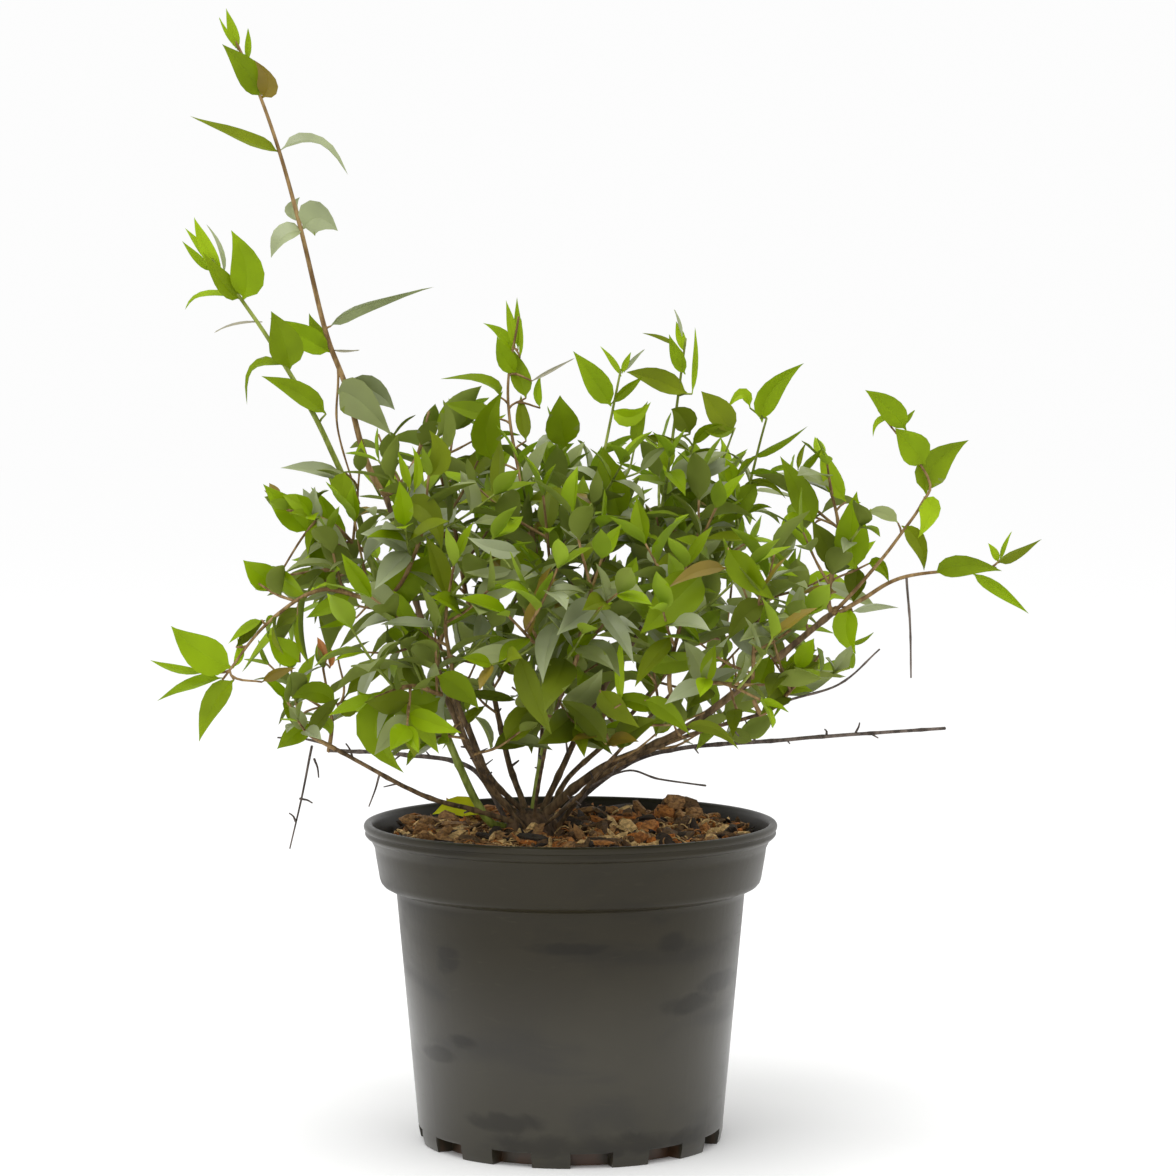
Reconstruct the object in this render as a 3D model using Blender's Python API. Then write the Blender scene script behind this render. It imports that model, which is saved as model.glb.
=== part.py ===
"""A young abelia in a plastic nursery pot: pot, compost, stool, boughs and leafy sprays.

The origin is the centre of the pot's flat underside, +Z is up, and the front faces -Y.
Every size below is in millimetres and is turned into metres by MM. The pot is a turned
shell, the compost fills it, and the stool is the woody crown that all the boughs rise
from. Each spray grows by one rule: a stem from its bough's tip, side twigs on the stem,
and leaves in opposite pairs that turn by a right angle from one pair to the next.
"""
import math
import random
from dataclasses import dataclass

import bmesh
import bpy
import numpy as np
from mathutils import Vector
from mathutils.bvhtree import BVHTree

MM = 0.001
GAP = 0.3

# Pot: a three-litre nursery pot
POT_LIP_RADIUS = 95.0
POT_HEIGHT = 147.0
POT_LIP_DEPTH = 7.0
POT_BAND_TOP_RADIUS = 89.5
POT_BAND_TOP_Z = 134.0
POT_BAND_FOOT_RADIUS = 87.2
POT_BAND_FOOT_Z = 119.0
POT_SHOULDER_RADIUS = 80.0
POT_SHOULDER_Z = 114.5
POT_FOOT_RADIUS = 70.2
POT_FOOT_Z = 5.0
POT_BASE_RADIUS = 68.8
POT_WALL = 1.6
POT_FLOOR = 2.2
POT_FLOOR_RIM_RADIUS = 49.0
POT_FLOOR_RIM_Z = 10.2
POT_SIDES = 40
DRAIN_COUNT = 12
DRAIN_WIDTH = 18.5
DRAIN_HEIGHT = 7.8
DRAIN_INNER_RADIUS = 54.0
DRAIN_TURN = 8.0

# Compost: coarse bark, heaped a little and level under the stool
COMPOST_TOP_Z = 139.4
COMPOST_LUMP = 2.2
COMPOST_SIDES = 24
COMPOST_RINGS = 5
CHUNK_PLACE = (54.0, 6.0)
CHUNK_RADIUS = 9.0
CHUNK_HEIGHT = 7.5

# Stool: the flared woody crown
STOOL_PLACE = (-18.0, -3.0)
STOOL_FLARE_RADIUS = 17.0
STOOL_RADIUS = 12.5
STOOL_HEIGHT = 13.5
STOOL_SIDES = 14

# Growth
FOOT_ROOM = 6.6
FORK_SPREAD = 1.8
BOUGH_SIDES = 5
BOUGH_STEP = 16.0
STEM_STEP = 26.0
STEM_RADIUS = (1.35, 0.85)
TWIG_RADIUS = (0.85, 0.72)
LEAF_LENGTH = 33.0
LEAF_WIDTH_PART = 0.44
LEAF_KEEL_PART = 0.034
LEAF_ROOT_PAST = 0.2
PAIR_STEP = 27.5
LEAF_ANGLE = 54.0
LEAF_DROOP = 0.26
YOUNG_SIZE = 0.8
YOUNG_ANGLE = 24.0
YOUNG_DROOP = 0.05
CROWN_BOX = ((-192.0, -150.0, 136.0), (214.0, 150.0, 521.0))

# Colours as linear red, green, blue
POT_COLOUR = (0.045, 0.042, 0.034)
COMPOST_COLOUR = (0.085, 0.036, 0.016)
BARK_COLOUR = (0.115, 0.055, 0.030)
GREEN_CANE_COLOUR = (0.240, 0.330, 0.070)
LEAF_COLOUR = (0.110, 0.230, 0.022)


@dataclass(frozen=True)
class Bough:
    """A tapering limb: the points it passes, its tip last, and its radius at foot and tip."""
    name: str
    points: tuple
    foot_radius: float
    tip_radius: float


@dataclass(frozen=True)
class Spray:
    """A leafy mass: its bough, the points its stem passes, its side twigs and leaves."""
    name: str
    bough: str
    points: tuple
    side_twigs: int = 3
    leaf_length: float = LEAF_LENGTH
    pair_step: float = PAIR_STEP
    first_turn: float = 20.0
    bare_twigs: tuple = ()
    side_reach: float = 34.0


BOUGHS = (
    Bough("leader_cane", ((-40, -1, 168), (-60, 5, 212), (-85, 10, 296)), 2.2, 1.5),
    Bough("green_cane", ((-46, -14, 168), (-66, -16, 211), (-93, -12, 272)), 2.4, 1.9),
    Bough("left_bough", ((-38, -20, 172), (-55, -34, 212), (-82, -50, 252)), 2.0, 1.4),
    Bough("low_left_bough", ((-42, -14, 153), (-68, -24, 162), (-106, -35, 184)), 1.6, 1.1),
    Bough("flat_left_bough", ((-46, 10, 170), (-79, 22, 175), (-113, 30, 176)), 1.5, 1.1),
    Bough("centre_left_bough", ((-28, 14, 170), (-35, 26, 198), (-43, 40, 234)), 2.2, 1.5),
    Bough("centre_bough", ((-14, -1, 172), (-9, 0, 198), (-3, -5, 229)), 1.9, 1.4),
    Bough("centre_right_bough", ((-5, 8, 168), (9, 18, 196), (34, 20, 236)), 2.0, 1.4),
    Bough("right_bough", ((14, -10, 172), (55, -18, 193), (118, -25, 244)), 2.8, 1.7),
    Bough("right_lower_bough", ((12, -24, 169), (48, -44, 189), (84, -70, 203)), 1.8, 1.2),
    Bough("right_bare_twig", ((34, 4, 175), (104, -8, 184), (170, -10, 190)), 1.3, 0.7),
    Bough("low_bare_twig", ((14, -36, 163), (36, -40, 166), (60, -38, 161)), 0.9, 0.5),
    Bough("back_right_bough", ((-2, 22, 163), (20, 44, 182), (57, 75, 222)), 2.2, 1.4),
    Bough("back_bough", ((-15, 22, 166), (-12, 45, 195), (-5, 80, 236)), 2.0, 1.4),
    Bough("back_left_bough", ((-28, 18, 158), (-40, 44, 184), (-63, 75, 222)), 2.0, 1.4),
    Bough("front_left_bough", ((-26, -24, 162), (-38, -48, 184), (-52, -80, 213)), 1.8, 1.3),
    Bough("front_bough", ((-14, -26, 168), (-9, -50, 194), (0, -85, 222)), 1.8, 1.3),
    Bough("front_right_bough", ((2, -30, 160), (18, -56, 181), (44, -90, 214)), 1.8, 1.3),
)

SPRAYS = (
    Spray("leader_spray", "leader_cane", ((-104, 5, 349), (-124, 0, 421), (-158, -8, 509)),
          0, 34.0, 34.0, 78.0),
    Spray("inner_left_spray", "leader_cane", ((-72, 24, 312), (-66, 34, 334)), 2),
    Spray("green_spray", "green_cane", ((-112, -20, 322), (-136, -25, 362), (-164, -33, 406)),
          1, 30.0, 24.0, 60.0),
    Spray("left_upper_spray", "green_cane", ((-108, -34, 286), (-126, -46, 292)), 2, 26.0, 15.0),
    Spray("left_tip_spray", "left_bough", ((-104, -58, 254), (-138, -66, 244), (-170, -70, 222)),
          2, 27.0, 17.0, 40.0, side_reach=26.0),
    Spray("left_round_spray", "left_bough", ((-102, -38, 264), (-128, -34, 262)), 2, 27.0),
    Spray("left_fill_spray", "left_bough", ((-66, -62, 280), (-62, -66, 308)), 2),
    Spray("low_left_spray", "low_left_bough", ((-118, -40, 192), (-126, -46, 206)), 2, 24.0, 14.0),
    Spray("flat_left_spray", "flat_left_bough", ((-112, 34, 190), (-116, 36, 214)), 1, 22.0, 13.0,
          bare_twigs=((0.08, (-137, 30, 182)), (0.16, (-129, 42, 134)))),
    Spray("top_left_spray", "centre_left_bough", ((-55, 44, 281), (-66, 46, 322)), 3),
    Spray("back_core_spray", "centre_left_bough", ((-24, 64, 248), (-20, 76, 276)), 2),
    Spray("crown_left_spray", "centre_bough", ((-20, 10, 290), (-29, 24, 340), (-24, 20, 378)),
          3, 29.0),
    Spray("crown_middle_spray", "centre_bough", ((12, -2, 300), (23, 0, 354)), 3, 30.0),
    Spray("centre_spray", "centre_bough", ((-8, -26, 258), (-12, -38, 298)), 3),
    Spray("crown_right_spray", "centre_right_bough", ((44, 20, 300), (53, 16, 368)), 3, 29.0),
    Spray("upper_right_spray", "centre_right_bough", ((72, 36, 268), (98, 30, 338)), 3),
    Spray("inner_right_spray", "centre_right_bough", ((52, -8, 262), (66, -22, 292)), 2),
    Spray("right_arch_spray", "right_bough", ((148, -28, 282), (161, -30, 306), (138, -32, 336)),
          0, 28.0, 18.0, 10.0),
    Spray("far_right_spray", "right_bough", ((150, -34, 256), (190, -44, 266)), 0, 33.0, 19.0, 75.0,
          bare_twigs=((0.42, (154, -36, 215)),)),
    Spray("right_upper_spray", "right_bough", ((122, -14, 280), (114, -8, 314)), 3, 28.0),
    Spray("right_low_spray", "right_lower_bough", ((98, -80, 216), (110, -86, 232)), 2, 27.0, 15.0,
          bare_twigs=((0.2, (140, -86, 226)),)),
    Spray("right_front_spray", "right_lower_bough", ((80, -88, 230), (82, -102, 258)), 3),
    Spray("back_left_spray", "back_left_bough", ((-80, 88, 240), (-94, 98, 262)), 3),
    Spray("back_left_upper_spray", "back_left_bough", ((-62, 82, 262), (-58, 88, 300)), 3),
    Spray("back_upper_spray", "back_bough", ((-8, 92, 276), (-6, 100, 314)), 3),
    Spray("back_spray", "back_bough", ((14, 100, 258), (26, 120, 286)), 3),
    Spray("back_right_upper_spray", "back_right_bough", ((64, 84, 266), (74, 92, 302)), 2),
    Spray("back_right_spray", "back_right_bough", ((84, 86, 236), (112, 96, 252)), 3),
    Spray("front_left_spray", "front_left_bough", ((-68, -96, 218), (-84, -110, 214)), 3, 29.0),
    Spray("front_left_upper_spray", "front_left_bough", ((-54, -88, 244), (-50, -98, 270)), 3),
    Spray("front_upper_spray", "front_bough", ((6, -96, 248), (14, -108, 274)), 3),
    Spray("front_spray", "front_bough", ((-14, -102, 236), (-26, -118, 250)), 3),
    Spray("front_right_upper_spray", "front_right_bough", ((48, -96, 246), (50, -104, 270)), 3),
    Spray("front_right_spray", "front_right_bough", ((64, -104, 220), (82, -120, 214)), 3, 29.0),
)


def clear_scene():
    """Remove every object that the file starts with."""
    for obj in list(bpy.data.objects):
        bpy.data.objects.remove(obj, do_unlink=True)


def make_material(name, colour, roughness):
    """Return a Principled material with one base colour and roughness."""
    material = bpy.data.materials.new(name)
    material.use_nodes = True
    shader = material.node_tree.nodes["Principled BSDF"]
    shader.inputs["Base Color"].default_value = (*colour, 1.0)
    shader.inputs["Roughness"].default_value = roughness
    shader.inputs["Metallic"].default_value = 0.0
    return material


def add_object(name, verts, faces, material, smooth=False):
    """Add a mesh object made from vertices in millimetres."""
    mesh = bpy.data.meshes.new(name)
    mesh.from_pydata([tuple(c * MM for c in v) for v in verts], [], faces)
    bm = bmesh.new()
    bm.from_mesh(mesh)
    bmesh.ops.recalc_face_normals(bm, faces=bm.faces)
    bm.to_mesh(mesh)
    bm.free()
    if smooth:
        mesh.shade_smooth()
        mesh.set_sharp_from_angle(angle=math.radians(35.0))
    mesh.materials.append(material)
    obj = bpy.data.objects.new(name, mesh)
    bpy.context.scene.collection.objects.link(obj)
    return obj


def turned(profile, sides):
    """Turn a closed or axis-to-axis profile of (radius, height) into vertices and faces."""
    verts, rings = [], []
    for radius, height in profile:
        if radius == 0.0:
            rings.append([len(verts)] * sides)
            verts.append((0.0, 0.0, height))
            continue
        rings.append(list(range(len(verts), len(verts) + sides)))
        for k in range(sides):
            angle = 2.0 * math.pi * k / sides
            verts.append((radius * math.cos(angle), radius * math.sin(angle), height))
    faces = []
    for low, high in zip(rings, rings[1:]):
        for k in range(sides):
            corners = (low[k], low[(k + 1) % sides], high[(k + 1) % sides], high[k])
            faces.append(tuple(dict.fromkeys(corners)))
    return verts, faces


def pot_inner_radius(height):
    """Return the radius of the pot's inner wall at a height."""
    outline = ((POT_FLOOR_RIM_Z, POT_FOOT_RADIUS - POT_WALL + 0.4),
               (POT_SHOULDER_Z, POT_SHOULDER_RADIUS - POT_WALL),
               (POT_BAND_FOOT_Z + POT_WALL, POT_BAND_FOOT_RADIUS - POT_WALL),
               (POT_BAND_TOP_Z, POT_BAND_TOP_RADIUS - POT_WALL),
               (POT_HEIGHT, POT_LIP_RADIUS - 4.2))
    return float(np.interp(height, [z for z, _ in outline], [r for _, r in outline]))


def make_pot(material):
    """Turn the pot's wall, band and rolled lip, then cut the drain slots round its foot."""
    lip = POT_LIP_RADIUS
    bead_z = POT_HEIGHT - POT_LIP_DEPTH
    profile = (
        (0.0, 0.0), (POT_BASE_RADIUS, 0.0), (POT_FOOT_RADIUS, POT_FOOT_Z),
        (POT_SHOULDER_RADIUS, POT_SHOULDER_Z), (POT_BAND_FOOT_RADIUS, POT_BAND_FOOT_Z),
        (POT_BAND_TOP_RADIUS, POT_BAND_TOP_Z), (lip - 2.8, bead_z), (lip - 0.6, bead_z + 0.8),
        (lip, bead_z + 4.4), (lip - 0.8, POT_HEIGHT - 0.6), (lip - 2.2, POT_HEIGHT),
        (lip - 3.6, POT_HEIGHT - 0.5), (lip - 4.4, POT_HEIGHT - 3.0),
        (pot_inner_radius(POT_BAND_TOP_Z), POT_BAND_TOP_Z),
        (pot_inner_radius(POT_BAND_FOOT_Z + POT_WALL), POT_BAND_FOOT_Z + POT_WALL),
        (pot_inner_radius(POT_SHOULDER_Z), POT_SHOULDER_Z),
        (pot_inner_radius(POT_FLOOR_RIM_Z), POT_FLOOR_RIM_Z),
        (POT_FLOOR_RIM_RADIUS, POT_FLOOR_RIM_Z), (POT_FLOOR_RIM_RADIUS - 2.0, POT_FLOOR), (0.0, POT_FLOOR))
    verts, faces = turned(profile, POT_SIDES)
    pot = add_object("pot", verts, faces, material, smooth=True)
    slots = drain_cutter(material)
    cut = pot.modifiers.new("drain slots", "BOOLEAN")
    cut.operation = "DIFFERENCE"
    cut.object = slots
    return pot


def drain_cutter(material):
    """Return the hidden cutter: one wedge for each drain slot round the foot."""
    verts, faces = [], []
    outer_radius = POT_FOOT_RADIUS + 6.0
    half_angle = DRAIN_WIDTH / POT_BASE_RADIUS / 2.0
    for k in range(DRAIN_COUNT):
        middle = math.radians(DRAIN_TURN) + 2.0 * math.pi * k / DRAIN_COUNT
        start = len(verts)
        for height in (-2.0, DRAIN_HEIGHT):
            for radius, side in ((DRAIN_INNER_RADIUS, -1), (outer_radius, -1),
                                 (outer_radius, 1), (DRAIN_INNER_RADIUS, 1)):
                angle = middle + side * half_angle
                verts.append((radius * math.cos(angle), radius * math.sin(angle), height))
        for face in ((0, 3, 2, 1), (4, 5, 6, 7), (0, 1, 5, 4), (1, 2, 6, 5), (2, 3, 7, 6), (3, 0, 4, 7)):
            faces.append(tuple(start + i for i in face))
    cutter = add_object("drain_cutter", verts, faces, material)
    cutter.hide_render = True
    cutter.display_type = "WIRE"
    return cutter


def compost_height(x, y, rng):
    """Return the height of the compost: lumpy, with one chunk, level under the stool."""
    height = COMPOST_TOP_Z + rng.uniform(-COMPOST_LUMP, COMPOST_LUMP)
    chunk = math.hypot(x - CHUNK_PLACE[0], y - CHUNK_PLACE[1])
    if chunk < CHUNK_RADIUS:
        height = COMPOST_TOP_Z + CHUNK_HEIGHT
    stool = math.hypot(x - STOOL_PLACE[0], y - STOOL_PLACE[1])
    if stool < STOOL_FLARE_RADIUS + 12.0:
        height = COMPOST_TOP_Z
    return height


def make_compost(material):
    """Fill the pot with compost whose top is a ring mesh with seeded heights."""
    rng = random.Random(5)
    sides = COMPOST_SIDES
    outline = ((POT_FLOOR_RIM_RADIUS - 3.0, POT_FLOOR + GAP),
               (POT_FLOOR_RIM_RADIUS - 1.0, POT_FLOOR_RIM_Z + GAP))
    wall = [(pot_inner_radius(z), z) for z in (POT_FLOOR_RIM_Z + GAP, POT_SHOULDER_Z,
                                               POT_BAND_FOOT_Z + POT_WALL + 1.0)]
    wall = [(radius * math.cos(math.pi / POT_SIDES) - GAP, z) for radius, z in wall]
    profile = [(0.0, POT_FLOOR + GAP), *outline, *wall]
    verts, faces = turned(profile, sides)
    top_radius = pot_inner_radius(COMPOST_TOP_Z - COMPOST_LUMP) * math.cos(math.pi / POT_SIDES) - GAP
    last = list(range(len(verts) - sides, len(verts)))
    for ring in range(COMPOST_RINGS, 0, -1):
        radius = top_radius * ring / COMPOST_RINGS
        current = list(range(len(verts), len(verts) + sides))
        for k in range(sides):
            angle = 2.0 * math.pi * k / sides
            x, y = radius * math.cos(angle), radius * math.sin(angle)
            height = compost_height(x, y, rng) if ring < COMPOST_RINGS else COMPOST_TOP_Z - COMPOST_LUMP
            verts.append((x, y, height))
        for k in range(sides):
            faces.append((last[k], last[(k + 1) % sides], current[(k + 1) % sides], current[k]))
        last = current
    verts.append((0.0, 0.0, COMPOST_TOP_Z))
    faces += [(last[k], last[(k + 1) % sides], len(verts) - 1) for k in range(sides)]
    return add_object("compost", verts, faces, material)


def make_stool(material):
    """Make the flared crown: lobed rings that narrow from the ground to a low dome."""
    foot_z = COMPOST_TOP_Z + GAP
    rings = ((STOOL_FLARE_RADIUS, 0.0), (STOOL_RADIUS + 1.2, 2.4), (STOOL_RADIUS, 5.0),
             (STOOL_RADIUS * 0.86, STOOL_HEIGHT * 0.68), (STOOL_RADIUS * 0.5, STOOL_HEIGHT * 0.93))
    verts, faces = [(*STOOL_PLACE, foot_z)], []
    for index, (radius, rise) in enumerate(rings):
        for k in range(STOOL_SIDES):
            angle = 2.0 * math.pi * k / STOOL_SIDES
            lobe = 1.0 + (0.09 if k % 2 and index == 0 else 0.0)
            verts.append((STOOL_PLACE[0] + radius * lobe * math.cos(angle),
                          STOOL_PLACE[1] + radius * lobe * math.sin(angle), foot_z + rise))
    verts.append((*STOOL_PLACE, foot_z + STOOL_HEIGHT))
    for k in range(STOOL_SIDES):
        nxt = (k + 1) % STOOL_SIDES
        faces.append((0, 1 + nxt, 1 + k))
        for ring in range(len(rings) - 1):
            low, high = 1 + ring * STOOL_SIDES, 1 + (ring + 1) * STOOL_SIDES
            faces.append((low + k, low + nxt, high + nxt, high + k))
        top = 1 + (len(rings) - 1) * STOOL_SIDES
        faces.append((top + k, top + nxt, len(verts) - 1))
    return add_object("stool", verts, faces, material)


def spread_feet(stool_centre):
    """Return each bough's direction off the stool, pushed apart until each foot has room."""
    ways = [(Vector(bough.points[0]) - stool_centre).normalized() for bough in BOUGHS]
    for _ in range(200):
        for i, one in enumerate(ways):
            for j in range(i):
                apart = one - ways[j]
                if apart.length * STOOL_RADIUS < FOOT_ROOM:
                    push = apart.normalized() * 0.02
                    ways[i], ways[j] = (ways[i] + push).normalized(), (ways[j] - push).normalized()
        for i, way in enumerate(ways):
            if way.z < 0.28:
                ways[i] = Vector((way.x, way.y, 0.28)).normalized()
    return ways


def smooth_path(points, start_way, step):
    """Sample a cubic curve through the points; it sets off along start_way."""
    points = [Vector(p) for p in points]
    slopes = [(b - a) * 0.5 for a, b in zip(points, points[2:])]
    slopes = [start_way.normalized() * (points[1] - points[0]).length, *slopes, points[-1] - points[-2]]
    path = [points[0]]
    for k, (a, b) in enumerate(zip(points, points[1:])):
        parts = max(2, round((b - a).length / step))
        for i in range(1, parts + 1):
            t = i / parts
            path.append(a * (2 * t**3 - 3 * t**2 + 1) + slopes[k] * (t**3 - 2 * t**2 + t)
                        + b * (3 * t**2 - 2 * t**3) + slopes[k + 1] * (t**3 - t**2))
    return path


def tube(path, foot_radius, tip_radius, sides, extra=0.0):
    """Carry a regular outline along a path, tapering evenly; extra thickens it all over."""
    across = Vector((0.0, 0.0, 1.0)).cross(path[1] - path[0])
    if across.length < 1e-3:
        across = Vector((1.0, 0.0, 0.0))
    lengths = np.cumsum([0.0, *[(b - a).length for a, b in zip(path, path[1:])]])
    verts, faces = [], []
    for k, point in enumerate(path):
        way = (path[min(k + 1, len(path) - 1)] - path[max(k - 1, 0)]).normalized()
        across = (across - way * across.dot(way)).normalized()
        other = way.cross(across)
        radius = foot_radius + (tip_radius - foot_radius) * lengths[k] / lengths[-1] + extra
        if extra and k in (0, len(path) - 1):
            point = point + way * (extra if k else -extra)
        for i in range(sides):
            angle = 2.0 * math.pi * i / sides
            verts.append(point + (across * math.cos(angle) + other * math.sin(angle)) * radius)
    for k in range(len(path) - 1):
        for i in range(sides):
            a, b = k * sides + i, k * sides + (i + 1) % sides
            faces.append((a, b, b + sides, a + sides))
    faces.append(tuple(reversed(range(sides))))
    faces.append(tuple(range(len(verts) - sides, len(verts))))
    return verts, faces


def leaf(root, twig_way, out_way, length, rise, droop, extra=0.0):
    """A folded, pointed leaf: a root just past the twig's axis, one wide section, a drooping tip."""
    way = (out_way * math.sin(rise) + twig_way * math.cos(rise)).normalized()
    face = (twig_way - way * twig_way.dot(way)).normalized()
    across = way.cross(face)
    down = Vector((0.0, 0.0, -1.0))
    middle = root + way * (0.42 * length) + face * (0.06 * length)
    tip = root + way * (length + extra) + down * (droop * length)
    half_width = 0.5 * LEAF_WIDTH_PART * length + extra
    keel = LEAF_KEEL_PART * length
    lift = 0.10 * length
    back = root - way * (LEAF_ROOT_PAST + extra)
    verts = [back, middle + across * half_width + face * (lift + extra),
             middle - across * half_width + face * (lift + extra),
             middle - face * (keel + extra), tip]
    faces = [(0, 2, 1), (0, 3, 2), (0, 1, 3), (4, 1, 2), (4, 2, 3), (4, 3, 1)]
    return verts, faces


class Space:
    """All the pieces placed so far, each with its bounds, to test a new piece against."""

    def __init__(self):
        self.trees, self.lows, self.highs, self.keys = [], [], [], []

    def add(self, key, verts, faces):
        """Record a placed piece under a key."""
        points = np.array([tuple(v) for v in verts])
        self.trees.append(BVHTree.FromPolygons([Vector(v) for v in verts], faces))
        self.lows.append(points.min(axis=0))
        self.highs.append(points.max(axis=0))
        self.keys.append(key)

    def is_clear(self, verts, faces, leave_out=()):
        """Return whether a piece crosses nothing recorded, apart from the keys left out."""
        points = np.array([tuple(v) for v in verts])
        below = np.all(np.array(self.lows) < points.max(axis=0), axis=1)
        above = np.all(np.array(self.highs) > points.min(axis=0), axis=1)
        own = BVHTree.FromPolygons([Vector(v) for v in verts], faces)
        return not any(own.overlap(self.trees[i]) for i in np.flatnonzero(below & above)
                       if self.keys[i] not in leave_out)


class Growth:
    """Grows one spray: its stem, then its twigs, then its leaves."""

    def __init__(self, spray, index, space):
        self.spray, self.space = spray, space
        self.rng = random.Random(100 + index)
        self.pieces = []
        self.twigs = []

    def try_piece(self, key, make, leave_out=()):
        """Add the piece that make(extra) gives if it is clear with room to spare."""
        verts, faces = make(0.45)
        low, high = CROWN_BOX
        if any(not low[k] < v[k] < high[k] for v in verts for k in range(3)):
            return False
        if not self.space.is_clear(verts, faces, leave_out):
            return False
        verts, faces = make(0.0)
        self.pieces.append((verts, faces))
        self.space.add(key, verts, faces)
        return True

    def grow_stem(self, bough_tip, fork_middle):
        """Set the stem off from its bough's tip, as near as it is clear, away from its fork's middle."""
        points = [Vector(p) for p in self.spray.points]
        straight = (points[0] - bough_tip).normalized()
        way = (straight + (straight - fork_middle) * FORK_SPREAD).normalized()
        for attempt in range(160):
            set_off = GAP + 0.15 + 0.12 * (attempt // 8)
            stray = 1.6 * (attempt % 8)
            aims = [p + Vector(self.rng.uniform(-stray, stray) for _ in range(3)) for p in points]
            path = smooth_path([bough_tip + way * set_off, *aims], way, STEM_STEP)
            make = lambda extra: tube(path, *STEM_RADIUS, 3, extra * 0.6)
            if self.try_piece((self.spray.name, 0), make):
                self.twigs.append((path, (self.spray.name, 0)))
                return
        raise RuntimeError(f"no room for the stem of {self.spray.name}")

    def point_on(self, path, part):
        """Return the point and direction at a part of a path's length."""
        place = part * (len(path) - 1)
        k = min(int(place), len(path) - 2)
        return path[k].lerp(path[k + 1], place - k), (path[k + 1] - path[k]).normalized()

    def side_way(self, way, turn):
        """Return the sideways direction at a turn round a twig's own direction."""
        across = Vector((0.0, 0.0, 1.0)).cross(way)
        across = across.normalized() if across.length > 0.05 else Vector((1.0, 0.0, 0.0))
        return across * math.cos(turn) + way.cross(across) * math.sin(turn)

    def grow_twigs(self):
        """Grow the bare twigs that hang or stand off the stem, then the leafy side twigs."""
        stem = self.twigs[0][0]
        for k, (part, end) in enumerate(self.spray.bare_twigs):
            root, _ = self.point_on(stem, part)
            path = [root, root.lerp(Vector(end), 0.5) + Vector((0.8, 0.0, 1.0)), Vector(end)]
            self.try_piece((self.spray.name, "bare", k),
                           lambda extra: tube(path, 0.7, 0.45, 3, extra * 0.5), ((self.spray.name, 0),))
        for k in range(self.spray.side_twigs):
            part = 0.12 + 0.66 * (k + 0.5) / self.spray.side_twigs
            root, way = self.point_on(stem, part)
            for attempt in range(14):
                turn = math.radians(self.spray.first_turn + 137.5 * k + self.rng.uniform(-60, 60))
                out = self.side_way(way, turn)
                reach = self.spray.side_reach * self.rng.uniform(0.75, 1.15) * (1.0 - 0.03 * attempt)
                aim = (out * 0.85 + way * 0.55 + Vector((0, 0, 0.12))).normalized()
                bent = (aim + Vector((0, 0, 0.10))).normalized()
                path = [root, root + aim * reach * 0.5, root + bent * reach]
                key = (self.spray.name, 1 + k)
                make = lambda extra: tube(path, *TWIG_RADIUS, 3, extra)
                if self.try_piece(key, make, ((self.spray.name, 0),)):
                    self.twigs.append((path, key))
                    break

    def leaf_places(self):
        """Yield each leaf's twig, its part of the length, turn, size, angle and droop, tips first."""
        for number, (path, key) in enumerate(self.twigs):
            length = sum((b - a).length for a, b in zip(path, path[1:]))
            pairs = max(2, round(length * 0.86 / self.spray.pair_step))
            for pair in range(pairs):
                from_tip = pair / pairs
                part = 0.955 - 0.86 * from_tip
                turn = math.radians(self.spray.first_turn + 90.0 * pair + 35.0 * number)
                young = pair == 0
                size = self.spray.leaf_length * (YOUNG_SIZE if young else 1.0)
                rise = math.radians(YOUNG_ANGLE if young else LEAF_ANGLE)
                for side in (0.0, math.pi):
                    yield path, key, part, turn + side, size, rise, YOUNG_DROOP if young else LEAF_DROOP

    def grow_leaf(self, place):
        """Try a leaf at a place, and skip it if no small change makes it clear."""
        path, key, part, turn, size, rise, most_droop = place
        root, way = self.point_on(path, part)
        for attempt in range(5):
            length = size * self.rng.uniform(0.84, 1.12) * (1.0 - 0.08 * attempt)
            angle = rise + math.radians(self.rng.uniform(-9.0, 9.0))
            out = self.side_way(way, turn + math.radians(self.rng.uniform(-14.0, 14.0)) * (attempt + 1))
            droop = self.rng.uniform(0.15, 1.0) * most_droop
            make = lambda extra: leaf(root, way, out, length, angle, droop, extra)
            if self.try_piece((self.spray.name, "leaf", len(self.pieces)), make, self.left_out(key)):
                return

    def left_out(self, key):
        """Return the keys that a leaf may cross: its own twig and the leaves rooted with it."""
        mates = [k for k in self.space.keys if k[0] == self.spray.name and k[1] == "leaf"]
        return (key, *mates[-1:])

    def join(self, material):
        """Fuse the stem, twigs and leaves into one solid."""
        name = self.spray.name
        stem = add_object(name, *self.pieces[0], material)
        group = bpy.data.collections.new(name + "_pieces")
        bpy.context.scene.collection.children.link(group)
        for k, (verts, faces) in enumerate(self.pieces[1:]):
            piece = add_object(f"{name}_{k}", verts, faces, material)
            bpy.context.scene.collection.objects.unlink(piece)
            group.objects.link(piece)
        union = stem.modifiers.new("fuse", "BOOLEAN")
        union.operation = "UNION"
        union.operand_type = "COLLECTION"
        union.collection = group
        union.solver = "EXACT"
        bpy.context.view_layer.update()
        evaluated = stem.evaluated_get(bpy.context.evaluated_depsgraph_get())
        fused = bpy.data.meshes.new_from_object(evaluated)
        stem.modifiers.remove(union)
        for piece in list(group.objects):
            bpy.data.objects.remove(piece, do_unlink=True)
        bpy.data.collections.remove(group)
        keep_largest_body(fused)
        stem.data = fused
        return stem


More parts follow.
